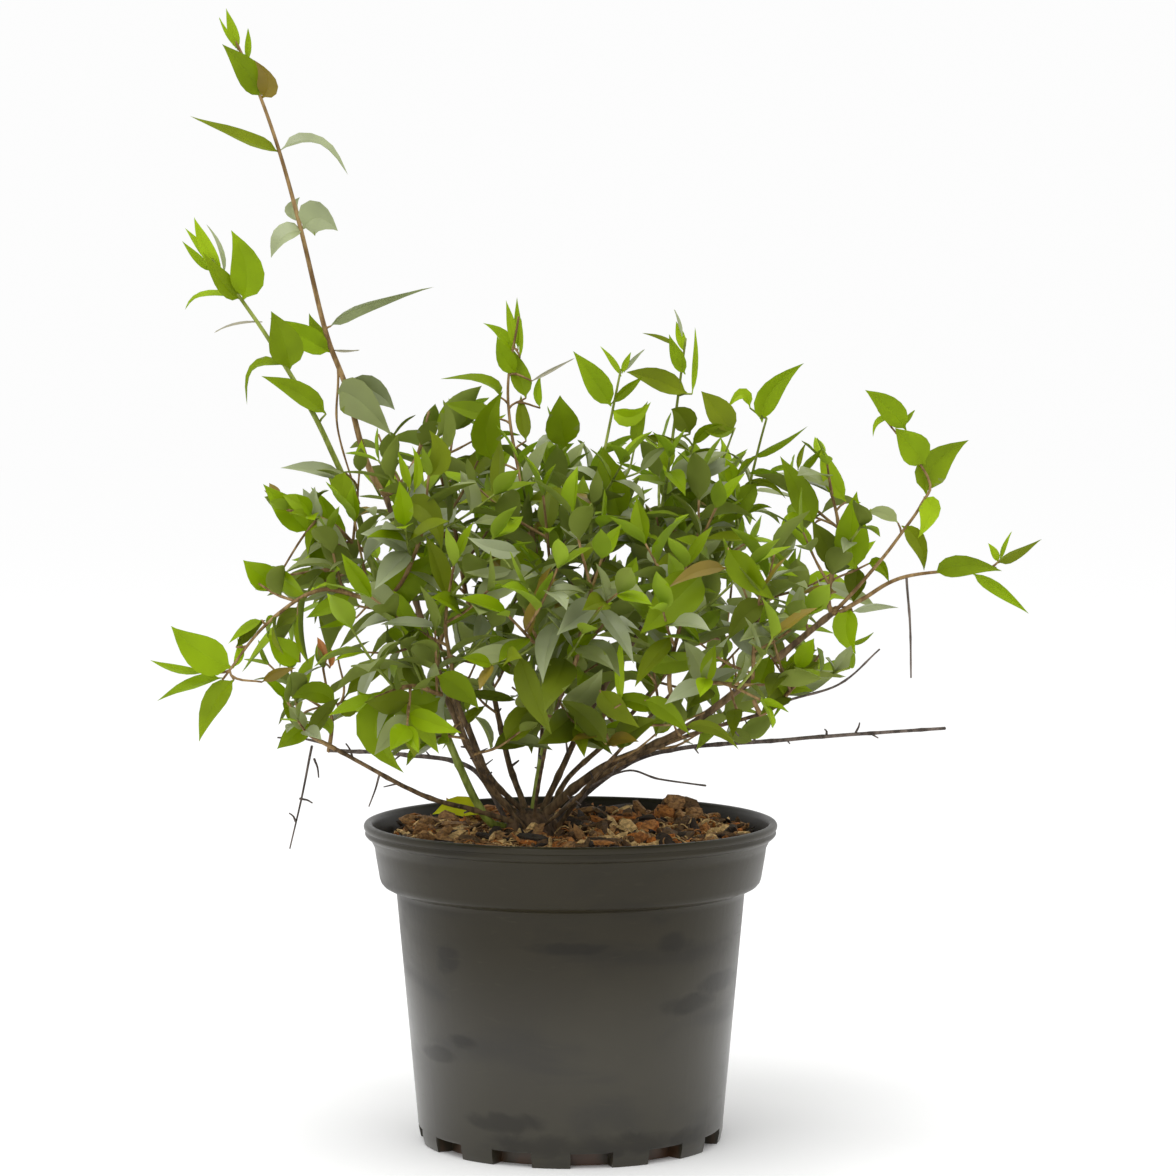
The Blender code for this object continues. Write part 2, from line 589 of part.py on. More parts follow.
def keep_largest_body(mesh):
    """Weld the fused mesh and drop any loose scrap from it."""
    bm = bmesh.new()
    bm.from_mesh(mesh)
    bmesh.ops.remove_doubles(bm, verts=bm.verts, dist=1e-7)
    left = set(bm.verts)
    bodies = []
    while left:
        body, front = set(), [left.pop()]
        while front:
            vert = front.pop()
            body.add(vert)
            for edge in vert.link_edges:
                other = edge.other_vert(vert)
                if other in left:
                    left.remove(other)
                    front.append(other)
        bodies.append(body)
    bodies.sort(key=len)
    scrap = [vert for body in bodies[:-1] for vert in body]
    bmesh.ops.delete(bm, geom=scrap, context="VERTS")
    bm.to_mesh(mesh)
    bm.free()


def make_boughs(space, bark, green):
    """Make every bough and return, by name, its tip and the middle direction of its fork."""
    stool_centre = Vector((*STOOL_PLACE, COMPOST_TOP_Z + GAP + 1.0))
    ends = {}
    for bough, way in zip(BOUGHS, spread_feet(stool_centre)):
        sides = BOUGH_SIDES if bough.foot_radius > 1.0 else 4
        for step in range(30):
            foot = stool_centre + way * (STOOL_RADIUS - 1.5 + 0.15 * step)
            path = smooth_path([foot, *bough.points], way, BOUGH_STEP)
            if space.is_clear(*tube(path, bough.foot_radius, bough.tip_radius, sides, GAP)):
                break
        else:
            raise RuntimeError(f"no room for the foot of {bough.name}")
        verts, faces = tube(path, bough.foot_radius, bough.tip_radius, sides)
        material = green if bough.name == "green_cane" else bark
        add_object(bough.name, verts, faces, material, smooth=True)
        space.add((bough.name, "bough"), verts, faces)
        ways = [(Vector(s.points[0]) - path[-1]).normalized() for s in SPRAYS if s.bough == bough.name]
        ends[bough.name] = (path[-1], sum(ways, Vector()) / max(len(ways), 1))
    return ends


def record_objects(space, names):
    """Record finished objects, whose meshes are in metres, as taken space."""
    depsgraph = bpy.context.evaluated_depsgraph_get()
    for name in names:
        mesh = bpy.data.objects[name].evaluated_get(depsgraph).to_mesh()
        verts = [v.co / MM for v in mesh.vertices]
        space.add((name, "base"), verts, [tuple(p.vertices) for p in mesh.polygons])


def main():
    """Build the pot, the compost, the stool, the boughs and the sprays in that order."""
    clear_scene()
    bark = make_material("bark", BARK_COLOUR, 0.75)
    green = make_material("green cane", GREEN_CANE_COLOUR, 0.55)
    foliage = make_material("foliage", LEAF_COLOUR, 0.5)
    make_pot(make_material("pot plastic", POT_COLOUR, 0.45))
    make_compost(make_material("bark compost", COMPOST_COLOUR, 0.95))
    make_stool(bark)
    space = Space()
    record_objects(space, ("pot", "compost", "stool"))
    ends = make_boughs(space, bark, green)
    growths = [Growth(spray, k, space) for k, spray in enumerate(SPRAYS)]
    for growth in growths:
        growth.grow_stem(*ends[growth.spray.bough])
    for growth in growths:
        growth.grow_twigs()
    queues = [list(growth.leaf_places()) for growth in growths]
    for turn in range(max(len(queue) for queue in queues)):
        for growth, queue in zip(growths, queues):
            if turn < len(queue):
                growth.grow_leaf(queue[turn])
    for growth in growths:
        growth.join(foliage)


main()
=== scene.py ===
"""The looks of a young abelia in a plastic nursery pot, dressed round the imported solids.

Sizes are in millimetres unless a name says otherwise, in the frame of the solids: the
origin is the centre of the pot's underside, +Z is up and the photographed side faces -Y.
The plant grows here by the same rule as its solids do: boughs off the stool, a stem for
each spray, side twigs on the stem, and leaves in opposite pairs that turn by a right
angle from pair to pair. Here the twigs are finer and the leaves are more and thinner.
"""

import logging
import math
import random
from dataclasses import dataclass, field
from enum import Enum
from functools import partial
from typing import Callable, Iterator, Sequence

import bpy
import numpy as np
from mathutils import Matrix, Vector
from mathutils.bvhtree import BVHTree


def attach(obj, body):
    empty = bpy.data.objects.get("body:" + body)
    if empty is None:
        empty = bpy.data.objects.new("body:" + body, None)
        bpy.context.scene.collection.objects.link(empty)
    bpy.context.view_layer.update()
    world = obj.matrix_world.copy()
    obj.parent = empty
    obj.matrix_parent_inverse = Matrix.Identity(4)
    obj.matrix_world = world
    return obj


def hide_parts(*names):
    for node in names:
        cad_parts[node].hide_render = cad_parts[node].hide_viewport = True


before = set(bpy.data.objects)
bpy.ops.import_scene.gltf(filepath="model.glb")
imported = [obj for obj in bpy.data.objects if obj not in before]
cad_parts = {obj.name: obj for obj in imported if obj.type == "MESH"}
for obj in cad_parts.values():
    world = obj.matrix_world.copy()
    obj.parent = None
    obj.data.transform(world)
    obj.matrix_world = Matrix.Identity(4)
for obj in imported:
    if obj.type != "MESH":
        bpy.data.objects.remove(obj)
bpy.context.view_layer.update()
LOG = logging.getLogger("potted abelia")

MM = 0.001
TURN = 2.0 * math.pi
UP = np.array([0.0, 0.0, 1.0])
RIGHT = np.array([1.0, 0.0, 0.0])
STOOL = (-18.0, -3.0)
Colour = tuple[float, float, float]
Point = tuple[float, float, float]
Span = tuple[float, float]


def linear(red: int, green: int, blue: int) -> Colour:
    """Return a colour given as eight-bit display values in linear light.

    Args:
        red: the red part, 0 to 255.
        green: the green part.
        blue: the blue part.

    Returns:
        The colour in linear light.
    """
    parts = np.array([red, green, blue]) / 255.0
    low, high = parts / 12.92, ((parts + 0.055) / 1.055) ** 2.4
    return tuple(float(c) for c in np.where(parts <= 0.04045, low, high))


def unit(vectors: np.ndarray) -> np.ndarray:
    """Return vectors scaled to length one along their last axis."""
    return vectors / np.maximum(np.linalg.norm(vectors, axis=-1, keepdims=True), 1e-9)


def angles_round(sides: int) -> np.ndarray:
    """Return even angles round a circle, from 0."""
    return np.arange(sides) * TURN / sides


class Value:
    """A shader socket whose arithmetic adds Math nodes to its tree."""

    def __init__(self, tree: bpy.types.NodeTree, socket: bpy.types.NodeSocket) -> None:
        """Wrap a socket of a node tree."""
        self.tree, self.socket = tree, socket

    def _math(self, operation: str, first: "Value | float", second: "Value | float") -> "Value":
        """Return the result of a Math node on two values.

        Args:
            operation: the node's operation.
            first: its first input.
            second: its second input.

        Returns:
            Its output.
        """
        node = self.tree.nodes.new("ShaderNodeMath")
        node.operation = operation
        for place, value in enumerate((first, second)):
            if isinstance(value, Value):
                self.tree.links.new(value.socket, node.inputs[place])
            else:
                node.inputs[place].default_value = float(value)
        return Value(self.tree, node.outputs[0])

    def __add__(self, other: "Value | float") -> "Value":
        """Return self + other."""
        return self._math("ADD", self, other)

    def __sub__(self, other: "Value | float") -> "Value":
        """Return self - other."""
        return self._math("SUBTRACT", self, other)

    def __rsub__(self, other: float) -> "Value":
        """Return other - self."""
        return self._math("SUBTRACT", other, self)

    def __mul__(self, other: "Value | float") -> "Value":
        """Return self * other."""
        return self._math("MULTIPLY", self, other)

    def __pow__(self, other: float) -> "Value":
        """Return self to the power other."""
        return self._math("POWER", self, other)


class Finish:
    """One material's node tree, built from a Principled shader."""

    def __init__(self, name: str) -> None:
        """Start a material with a Principled shader and its Object coordinates.

        Args:
            name: the material's name.
        """
        self.material = bpy.data.materials.new(name)
        self.material.use_nodes = True
        self.tree = self.material.node_tree
        self.shader = self.tree.nodes["Principled BSDF"]
        self.place = self.node("ShaderNodeTexCoord").outputs["Object"]

    def node(self, kind: str, settings: dict | None = None, inputs: dict | None = None) -> bpy.types.Node:
        """Add a node: its settings first, then its sockets.

        Args:
            kind: the node's type.
            settings: the node's own properties.
            inputs: socket names or numbers, each with a value, a Value or a socket.

        Returns:
            The new node.
        """
        made = self.tree.nodes.new(kind)
        for name, value in (settings or {}).items():
            setattr(made, name, value)
        for name, value in (inputs or {}).items():
            self.feed(made.inputs[name], value)
        return made

    def feed(self, socket: bpy.types.NodeSocket, value: object) -> None:
        """Set a socket to a number or colour, or link it to a Value or a socket.

        Args:
            socket: the socket to feed.
            value: a number, a colour, a Value or another socket.
        """
        if isinstance(value, Value):
            self.tree.links.new(value.socket, socket)
        elif isinstance(value, bpy.types.NodeSocket):
            self.tree.links.new(value, socket)
        elif isinstance(value, tuple) and len(value) == 3 and len(socket.default_value) == 4:
            socket.default_value = (*value, 1.0)
        else:
            socket.default_value = value

    def value(self, kind: str, settings: dict, inputs: dict) -> Value:
        """Add a node and return its first output."""
        return Value(self.tree, self.node(kind, settings, inputs).outputs[0])

    def axes(self) -> list[Value]:
        """Return X, Y and Z of the Object coordinates, in metres."""
        split = self.node("ShaderNodeSeparateXYZ", inputs={"Vector": self.place})
        return [Value(self.tree, output) for output in split.outputs]

    def noise(self, scale: float, detail: float = 2.0, stretch: Point = (1.0, 1.0, 1.0),
              warp: float = 0.0) -> Value:
        """Return fractal noise of Object coordinates, stretched along the axes.

        Args:
            scale: waves to a metre.
            detail: how many finer layers it has.
            stretch: factors on X, Y and Z.
            warp: how far it is bent.

        Returns:
            The noise, about 0.5 on average.
        """
        mapped = self.node("ShaderNodeMapping", inputs={"Vector": self.place, "Scale": stretch})
        return self.value("ShaderNodeTexNoise", {}, {
            "Vector": mapped.outputs[0], "Scale": scale, "Detail": detail, "Distortion": warp})

    def step(self, value: Value, low: float, high: float) -> Value:
        """Return 0 where the value is below low, 1 above high and a smooth rise between."""
        span = {"Value": value, "From Min": low, "From Max": high}
        return self.value("ShaderNodeMapRange", {"interpolation_type": "SMOOTHSTEP"}, span)

    def blend(self, part: Value, first: object, second: object) -> bpy.types.NodeSocket:
        """Return the colour that goes from first to second as part goes from 0 to 1.

        Args:
            part: how much of the second shows.
            first: the colour at 0.
            second: the colour at 1.

        Returns:
            The mixed colour's socket.
        """
        factor, colour_a, colour_b, mixed = 0, 6, 7, 2
        made = self.node("ShaderNodeMix", {"data_type": "RGBA"},
                         {factor: part, colour_a: first, colour_b: second})
        return made.outputs[mixed]

    def bump(self, height: Value, strength: float, depth_m: float) -> None:
        """Feed a bump of a height field, depth_m metres high, into the shader's normal."""
        made = self.node("ShaderNodeBump", {}, {"Height": height, "Strength": strength, "Distance": depth_m})
        self.feed(self.shader.inputs["Normal"], made.outputs[0])

    def surface(self, colour: object, roughness: object, **others: object) -> None:
        """Feed the shader's colour, roughness and any other sockets by name.

        Args:
            colour: the base colour.
            roughness: the roughness.
            others: other sockets, by name with _ for each space.
        """
        self.feed(self.shader.inputs["Base Color"], colour)
        self.feed(self.shader.inputs["Roughness"], roughness)
        for name, value in others.items():
            self.feed(self.shader.inputs[name.replace("_", " ")], value)

    def let_light_through(self, colour: Colour, part: float) -> None:
        """Mix in light that passes through the surface.

        Args:
            colour: the colour of that light.
            part: how much of the surface it makes up.
        """
        through = self.node("ShaderNodeBsdfTranslucent", inputs={"Color": colour})
        mixed = self.node("ShaderNodeMixShader", inputs={
            0: part, 1: self.shader.outputs[0], 2: through.outputs[0]})
        out = self.tree.nodes["Material Output"]
        self.feed(out.inputs["Surface"], mixed.outputs[0])


@dataclass(frozen=True)
class LeafFinish:
    """Leaf skin: a plain base colour with faint mottling, a soft gloss and light through it."""
    name: str
    colour: Colour
    roughness: float = 0.40
    glow: float = 0.28
    gloss: float = 0.46
    glow_colour: Colour = (1.9, 1.9, 0.8)
    mottle_scale: float = 46.0
    mottle_deep: float = 0.80
    mottle_pale: float = 1.26
    grain_scale: float = 240.0
    grain: float = 0.16
    bump_scale: float = 260.0
    bump_strength: float = 0.10
    bump_depth_m: float = 0.0006

    def scaled(self, red: float, green: float, blue: float) -> Colour:
        """Return the colour with its parts scaled, none of them past one."""
        return tuple(min(1.0, part * factor) for part, factor in zip(self.colour, (red, green, blue)))

    def material(self) -> bpy.types.Material:
        """Return the finished material.

        Returns:
            The material.
        """
        finish = Finish(self.name)
        mottle = finish.step(finish.noise(self.mottle_scale), 0.2, 0.8)
        deep, pale = (self.scaled(k, k, k) for k in (self.mottle_deep, self.mottle_pale))
        rough = finish.noise(self.grain_scale) * self.grain + (self.roughness - self.grain / 2)
        finish.surface(finish.blend(mottle, deep, pale), rough, Specular_IOR_Level=self.gloss)
        finish.bump(finish.noise(self.bump_scale), self.bump_strength, self.bump_depth_m)
        finish.let_light_through(self.scaled(*self.glow_colour), self.glow)
        return finish.material


@dataclass(frozen=True)
class BarkFinish:
    """Bark: two tones in streaks along the limb, with a fibrous bump."""
    name: str
    dark: Colour
    light: Colour
    roughness: float = 0.7
    depth_m: float = 0.0006
    streak_scale: float = 420.0
    streak_stretch: Point = (1.0, 1.0, 0.22)
    patch_scale: float = 110.0
    fibre_scale: float = 900.0
    bump_strength: float = 0.55

    def material(self) -> bpy.types.Material:
        """Return the finished material.

        Returns:
            The material.
        """
        finish = Finish(self.name)
        streaks = finish.noise(self.streak_scale, 4.0, self.streak_stretch)
        part = finish.step(streaks * 0.6 + finish.noise(self.patch_scale) * 0.4, 0.38, 0.64)
        finish.surface(finish.blend(part, self.dark, self.light), 1.0 - part * (1.0 - self.roughness))
        height = streaks * 0.7 + finish.noise(self.fibre_scale) * 0.3
        finish.bump(height, self.bump_strength, self.depth_m)
        return finish.material


@dataclass(frozen=True)
class ChipFinish:
    """A bark chip's dull fibrous face, in two near tones."""
    name: str
    colour: Colour
    roughness: float = 0.88
    deep: float = 0.45
    grain_scale: float = 520.0
    grain_stretch: Point = (1.0, 0.5, 1.6)
    bump_strength: float = 0.8
    bump_depth_m: float = 0.0012

    def material(self) -> bpy.types.Material:
        """Return the finished material.

        Returns:
            The material.
        """
        finish = Finish(self.name)
        grain = finish.noise(self.grain_scale, 4.0, self.grain_stretch, 0.6)
        deep = tuple(part * self.deep for part in self.colour)
        finish.surface(finish.blend(finish.step(grain, 0.36, 0.62), deep, self.colour), self.roughness)
        finish.bump(grain, self.bump_strength, self.bump_depth_m)
        return finish.material


@dataclass(frozen=True)
class PotPlastic:
    """Dark recycled plastic: satin, with duller smudges, fine scuffs and a faint orange peel.

    Each of the marks is (across, up, half width, half height) in millimetres. The foot's
    dirt lies below dirt_top_m and inside the radii dirt_edge_m, both given as a soft edge.
    """
    colour: Colour = linear(37, 32, 17)
    smudge: Colour = linear(14, 11, 7)
    dust: Colour = linear(55, 51, 35)
    dirt: Colour = linear(70, 46, 26)
    roughness: float = 0.40
    gloss: float = 0.18
    coat: float = 0.80
    coat_roughness: float = 0.36
    coat_fade_m: Span = (0.040, 0.110)
    front_m: Span = (-0.03, 0.0)
    dirt_top_m: Span = (0.0080, 0.0094)
    dirt_edge_m: Span = (0.0668, 0.0690)
    marks: tuple = ((-55, 91, 6, 8), (-60, 47, 9, 4), (-48, 55, 9, 4), (47, 100, 9, 6), (52, 71, 13, 5),
                    (66, 79, 10, 5), (10, 10, 55, 6), (-30, 20, 20, 5), (-5, 100, 22, 3))

    def material(self) -> bpy.types.Material:
        """Return the finished material.

        Returns:
            The material.
        """
        finish = Finish("satin dark pot plastic")
        cloud = finish.step(finish.noise(15.0, 4.0, (1.0, 1.0, 2.4), 0.5), 0.50, 0.72)
        haze = finish.step(finish.noise(7.0, 4.0), 0.40, 0.70)
        scuff = finish.step(finish.noise(70.0, 5.0, (1.0, 1.0, 4.5), 1.2), 0.60, 0.78)
        marks = self.handling_marks(finish)
        dirt = self.foot_dirt(finish)
        _, _, z = finish.axes()
        base = self.colour
        for part, colour in ((haze * 0.5, self.dust), (cloud * 0.5, self.smudge), (marks, self.smudge),
                             (scuff * 0.35, self.dust), (dirt, self.dirt)):
            base = finish.blend(part, base, colour)
        coat = (1.0 - finish.step(z, *self.coat_fade_m) * 0.80) * (1.0 - marks * 0.6) * self.coat
        finish.surface(base, haze * 0.10 + cloud * 0.12 + scuff * 0.10 + (self.roughness - 0.05),
                       Specular_IOR_Level=self.gloss, Coat_Weight=coat, Coat_Roughness=self.coat_roughness)
        finish.bump(finish.noise(260.0, 3.0) * 0.6 + finish.noise(30.0) * 0.4, 0.10, 0.0010)
        return finish.material

    def handling_marks(self, finish: Finish) -> Value:
        """Return the mask of the dull marks on the front: soft ovals with a ragged edge.

        Args:
            finish: the material that they are on.

        Returns:
            The mask, 0 to about 0.5.
        """
        x, y, z = finish.axes()
        ragged = finish.noise(55.0, 4.0, (1.0, 1.0, 1.6), 0.8)
        mask = 0.0
        for centre_x, centre_z, half_x, half_z in self.marks:
            off_x = (x - centre_x * MM) * (1.0 / (half_x * MM))
            off_z = (z - centre_z * MM) * (1.0 / (half_z * MM))
            far = off_x * off_x + off_z * off_z + ragged * 2.4
            mask = (1.0 - finish.step(far, 1.35, 2.35)) + mask
        return mask * (1.0 - finish.step(y, *self.front_m)) * 0.5

    def foot_dirt(self, finish: Finish) -> Value:
        """Return the mask of the dirt inside the drain slots: low down, and in from the wall.

        Args:
            finish: the material that it is on.

        Returns:
            The mask, 0 to 1.
        """
        x, y, z = finish.axes()
        low = 1.0 - finish.step(z, *self.dirt_top_m)
        inner = 1.0 - finish.step((x * x + y * y) ** 0.5, *self.dirt_edge_m)
        return low * inner * finish.step(finish.noise(60.0, 3.0), 0.34, 0.6)


class LeafTint(Enum):
    """The leaf colours, from the inside of the crown in painted shade to the youngest tips, with pale satin
    tints for a painted sheen.
    """
    # The darkest tints stand partly for painted shade inside and low in the crown, partly for the older
    # leaves' own duller colour.
    SHADE = LeafFinish("shaded leaf", linear(98, 110, 18), 0.48, 0.24, 0.15)
    OLIVE = LeafFinish("olive leaf", linear(119, 132, 16), 0.48, 0.30, 0.16)
    GREEN = LeafFinish("green leaf", linear(126, 147, 8), 0.46, 0.34, 0.17)
    FRESH = LeafFinish("fresh leaf", linear(139, 162, 8), 0.46, 0.38, 0.18)
    LIME = LeafFinish("lime young leaf", linear(157, 179, 22), 0.46, 0.40, 0.20)
    # The two satin tints are painted sheen: the sky's reflection on flat-lying leaves put into a paler,
    # greyer base colour.
    SHEEN = LeafFinish("satin leaf with sheen", linear(138, 147, 90), 0.34, 0.24, 0.44)
    PALE = LeafFinish("pale satin leaf", linear(152, 160, 120), 0.32, 0.18, 0.52)
    BRONZE = LeafFinish("bronze young leaf", linear(134, 114, 30), 0.46, 0.26)
    FADED = LeafFinish("faded orange leaf", linear(190, 134, 76), 0.50, 0.26)
    DRY = LeafFinish("dry pale leaf", linear(168, 164, 146), 0.60, 0.20)
    UNDERSIDE = LeafFinish("leaf underside", linear(130, 142, 64), 0.62, 0.32, 0.14)
    YOUNG_UNDERSIDE = LeafFinish("young leaf underside", linear(144, 162, 52), 0.60, 0.36, 0.14)

    def underside(self) -> "LeafTint":
        """Return the tint of this leaf's underside.

        Returns:
            The underside's tint.
        """
        if self in (LeafTint.FADED, LeafTint.DRY):
            return self
        young = self in (LeafTint.FRESH, LeafTint.LIME)
        return LeafTint.YOUNG_UNDERSIDE if young else LeafTint.UNDERSIDE


class Wood(Enum):
    """The bark colours, from the old crown to the green shoots."""
    OLD = BarkFinish("old brown bark", linear(50, 37, 24), linear(102, 78, 53), 0.80, 0.0012)
    BROWN = BarkFinish("brown bark", linear(66, 51, 32), linear(120, 95, 62), 0.72)
    RED = BarkFinish("red-brown twig bark", linear(106, 80, 46), linear(156, 126, 78), 0.60, 0.0004)
    GREEN = BarkFinish("green shoot bark", linear(102, 114, 32), linear(144, 157, 62), 0.50, 0.0003)
    DEAD = BarkFinish("dead twig bark", linear(66, 58, 52), linear(114, 101, 92), 0.84, 0.0005)


class BarkChip(Enum):
    """The colours of the compost's bark chips."""
    BLACK = ChipFinish("black compost crumb", linear(52, 39, 25))
    DARK = ChipFinish("dark bark chip", linear(100, 74, 44))
    BROWN = ChipFinish("brown bark chip", linear(156, 115, 68))
    RUST = ChipFinish("rust bark chip", linear(182, 118, 56))
    TAN = ChipFinish("tan wood chip", linear(222, 184, 122))
    ORANGE = ChipFinish("orange bark chip", linear(196, 116, 40))


@dataclass
class Shape:
    """A mesh in the making: points in millimetres, faces and the material number of each face."""
    points: list = field(default_factory=list)
    faces: list = field(default_factory=list)
    tints: list = field(default_factory=list)
    count: int = 0

    def add(self, points: np.ndarray, faces: Sequence[Sequence[int]], tint: int | np.ndarray = 0) -> None:
        """Add a block of points and its faces.

        Args:
            points: the points, in rows of three.
            faces: point numbers, from 0 in this block.
            tint: the material number of all its faces, or of each.
        """
        self.points.append(points.reshape(-1, 3))
        self.faces.extend([tuple(int(i) + self.count for i in face) for face in faces])
        self.tints.extend(np.broadcast_to(tint, len(faces)).tolist())
        self.count += points.size // 3

    def piece(self, name: str, finishes: Sequence, slot: str, nodes: Sequence[str] = (),
              sharp_degrees: float = 50.0, crease: np.ndarray | None = None) -> None:
        """Make the piece, smooth but for its sharp edges, riding on the plant's one body.

        Args:
            name: the piece's name.
            finishes: its finishes, in the order of their material numbers.
            slot: the record's material slot; not used.
            nodes: the solids that it stands for.
            sharp_degrees: edges sharper than this stay sharp.
            crease: marks the points whose edges to each other stay sharp too.
        """
        mesh = bpy.data.meshes.new(name)
        mesh.from_pydata((np.concatenate(self.points) * MM).tolist(), [], self.faces)
        for finish in finishes:
            mesh.materials.append(finish.material())
        mesh.polygons.foreach_set("material_index", np.array(self.tints, np.int32))
        mesh.validate()
        mesh.shade_smooth()
        mesh.set_sharp_from_angle(angle=math.radians(sharp_degrees))
        if crease is not None:
            ends = np.empty(len(mesh.edges) * 2, np.int32)
            mesh.edges.foreach_get("vertices", ends)
            sharp = np.empty(len(mesh.edges), bool)
            mesh.edges.foreach_get("use_edge_sharp", sharp)
            mesh.edges.foreach_set("use_edge_sharp", sharp | crease[ends.reshape(-1, 2)].all(axis=1))
        made = bpy.data.objects.new(name, mesh)
        bpy.context.scene.collection.objects.link(made)
        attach(made, "root")
        if nodes:
            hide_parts(*nodes)
        LOG.info("%s: %d faces", name, len(self.faces))


def closed_faces(rings: int, sides: int) -> list:
    """Return the faces of a stack of closed rings with a pole at either end.

    The points are numbered ring by ring, then the first ring's pole, then the last one's.

    Args:
        rings: how many rings there are.
        sides: how many points each has.

    Returns:
        The faces: quads between the rings, then a fan of triangles at each pole.
    """
    ring, side = np.meshgrid(np.arange(rings - 1), np.arange(sides), indexing="ij")
    low, following = ring * sides + side, ring * sides + (side + 1) % sides
    faces = np.stack([low, following, following + sides, low + sides], axis=-1).reshape(-1, 4).tolist()
    pole, last = rings * sides, (rings - 1) * sides
    faces += [(pole, (k + 1) % sides, k) for k in range(sides)]
    faces += [(pole + 1, last + k, last + (k + 1) % sides) for k in range(sides)]
    return faces


def crosswise(path: np.ndarray) -> tuple[np.ndarray, np.ndarray]:
    """Return two directions across a path at each of its points, without needless twist.

    Args:
        path: points of the line.

    Returns:
        The two directions, one row for each point.
    """
    ways = unit(np.gradient(path, axis=0))
    across = np.cross(UP, ways[0])
    if np.linalg.norm(across) < 1e-3:
        across = RIGHT
    rows = []
    for way in ways:
        across = unit(across - way * across.dot(way))
        rows.append(across)
    return np.array(rows), np.cross(ways, rows)


def tube(path: np.ndarray, radii: np.ndarray, sides: int,
         relief: Callable[[np.ndarray, np.ndarray], np.ndarray] | None = None) -> tuple[np.ndarray, list]:
    """Carry a round outline along a path and close its ends in blunt tips.

    Point (s, a) is path(s) + radius(s, a) * (cos a * across(s) + sin a * other(s)).

    Args:
        path: points of the middle line.
        radii: the radius at each point.
        sides: points round the outline.
        relief: a factor on the radius, worked out from arrays of s and a.

    Returns:
        The points and the faces.
    """
    tip_reach = 0.6
    across, other = crosswise(path)
    place, angle = np.linspace(0.0, 1.0, len(path))[:, None], angles_round(sides)[None, :]
    radius = np.broadcast_to(radii[:, None], (len(path), sides))
    if relief is not None:
        radius = radius * relief(place, angle)
    rings = path[:, None, :] + radius[..., None] * (
        np.cos(angle)[..., None] * across[:, None, :] + np.sin(angle)[..., None] * other[:, None, :])
    ends = np.stack([path[0] - unit(path[1] - path[0]) * radii[0] * tip_reach,
                     path[-1] + unit(path[-1] - path[-2]) * radii[-1] * tip_reach])
    return np.concatenate([rings.reshape(-1, 3), ends]), closed_faces(len(path), sides)


def plain_tube(path: np.ndarray, radius: float, every: int = 4, sides: int = 3) -> tuple[np.ndarray, list]:
    """Return a coarse tube of one radius through every few points of a path, for the room test."""
    return tube(path[::every], np.full(len(path[::every]), radius), sides)


def smooth_path(points: Sequence[Sequence[float]], start_way: np.ndarray, step: float) -> np.ndarray:
    """Sample a cubic curve through the points; it sets off along start_way.

    Between points a and b with slopes m and n the curve is
    a(2t^3-3t^2+1) + m(t^3-2t^2+t) + b(3t^2-2t^3) + n(t^3-t^2).

    Args:
        points: what the curve passes.
        start_way: the direction in which it sets off.
        step: about how far apart its samples lie.

    Returns:
        The samples.
    """
    knots = np.array([np.asarray(p, float) for p in points])
    slopes = np.empty_like(knots)
    slopes[1:-1] = (knots[2:] - knots[:-2]) * 0.5
    slopes[0] = unit(np.asarray(start_way, float)) * np.linalg.norm(knots[1] - knots[0])
    slopes[-1] = knots[-1] - knots[-2]
    runs = [knots[:1]]
    for k in range(len(knots) - 1):
        parts = max(2, round(float(np.linalg.norm(knots[k + 1] - knots[k])) / step))
        t = np.linspace(0.0, 1.0, parts + 1)[1:, None]
        runs.append(knots[k] * (2 * t**3 - 3 * t**2 + 1) + slopes[k] * (t**3 - 2 * t**2 + t)
                    + knots[k + 1] * (3 * t**2 - 2 * t**3) + slopes[k + 1] * (t**3 - t**2))
    return np.concatenate(runs)


def path_length(path: np.ndarray) -> float:
    """Return the length of a path."""
    return float(np.linalg.norm(np.diff(path, axis=0), axis=1).sum())


def point_on(path: np.ndarray, part: float) -> tuple[np.ndarray, np.ndarray]:
    """Return the point and the direction at a part of a path's length.

    Args:
        path: the path's points.
        part: the part of its length, 0 to 1.

    Returns:
        The point and the direction.
    """
    steps = np.linalg.norm(np.diff(path, axis=0), axis=1)
    along = np.concatenate([[0.0], np.cumsum(steps)]) / steps.sum()
    point = np.array([np.interp(part, along, path[:, k]) for k in range(3)])
    k = int(np.clip(np.searchsorted(along, part) - 1, 0, len(steps) - 1))
    return point, unit(path[k + 1] - path[k])


@dataclass(frozen=True)
class Bough:
    """A tapering limb: the points it passes, its tip last, its radii and its bark.

    Each of its twiglets is a dead twig's start and end.
    """
    name: str
    points: tuple
    foot_radius: float
    tip_radius: float
    wood: Wood = Wood.BROWN
    twiglets: tuple = ()


@dataclass(frozen=True)
class Spray:
    """A leafy mass: its bough, the points of its stem, its side twigs and its leaves.

    Each of its bare twigs is (part of the stem's length, end, how far its middle is bent).
    Above plain_below, a part of the stem's length, the stem has only the leaves that the
    photograph shows. The first turn is an angle in degrees.
    """
    name: str
    bough: str
    points: tuple
    side_twigs: int = 4
    leaf_length: float = 33.0
    pair_step: float = 14.0
    first_turn: float = 20.0
    bare_twigs: tuple = ()
    side_reach: float = 36.0
    wood: Wood = Wood.RED
    youth: float = 0.0
    plain_below: float = 1.0
    bare_wood: Wood = Wood.DEAD
    stem_radius: float = 1.15


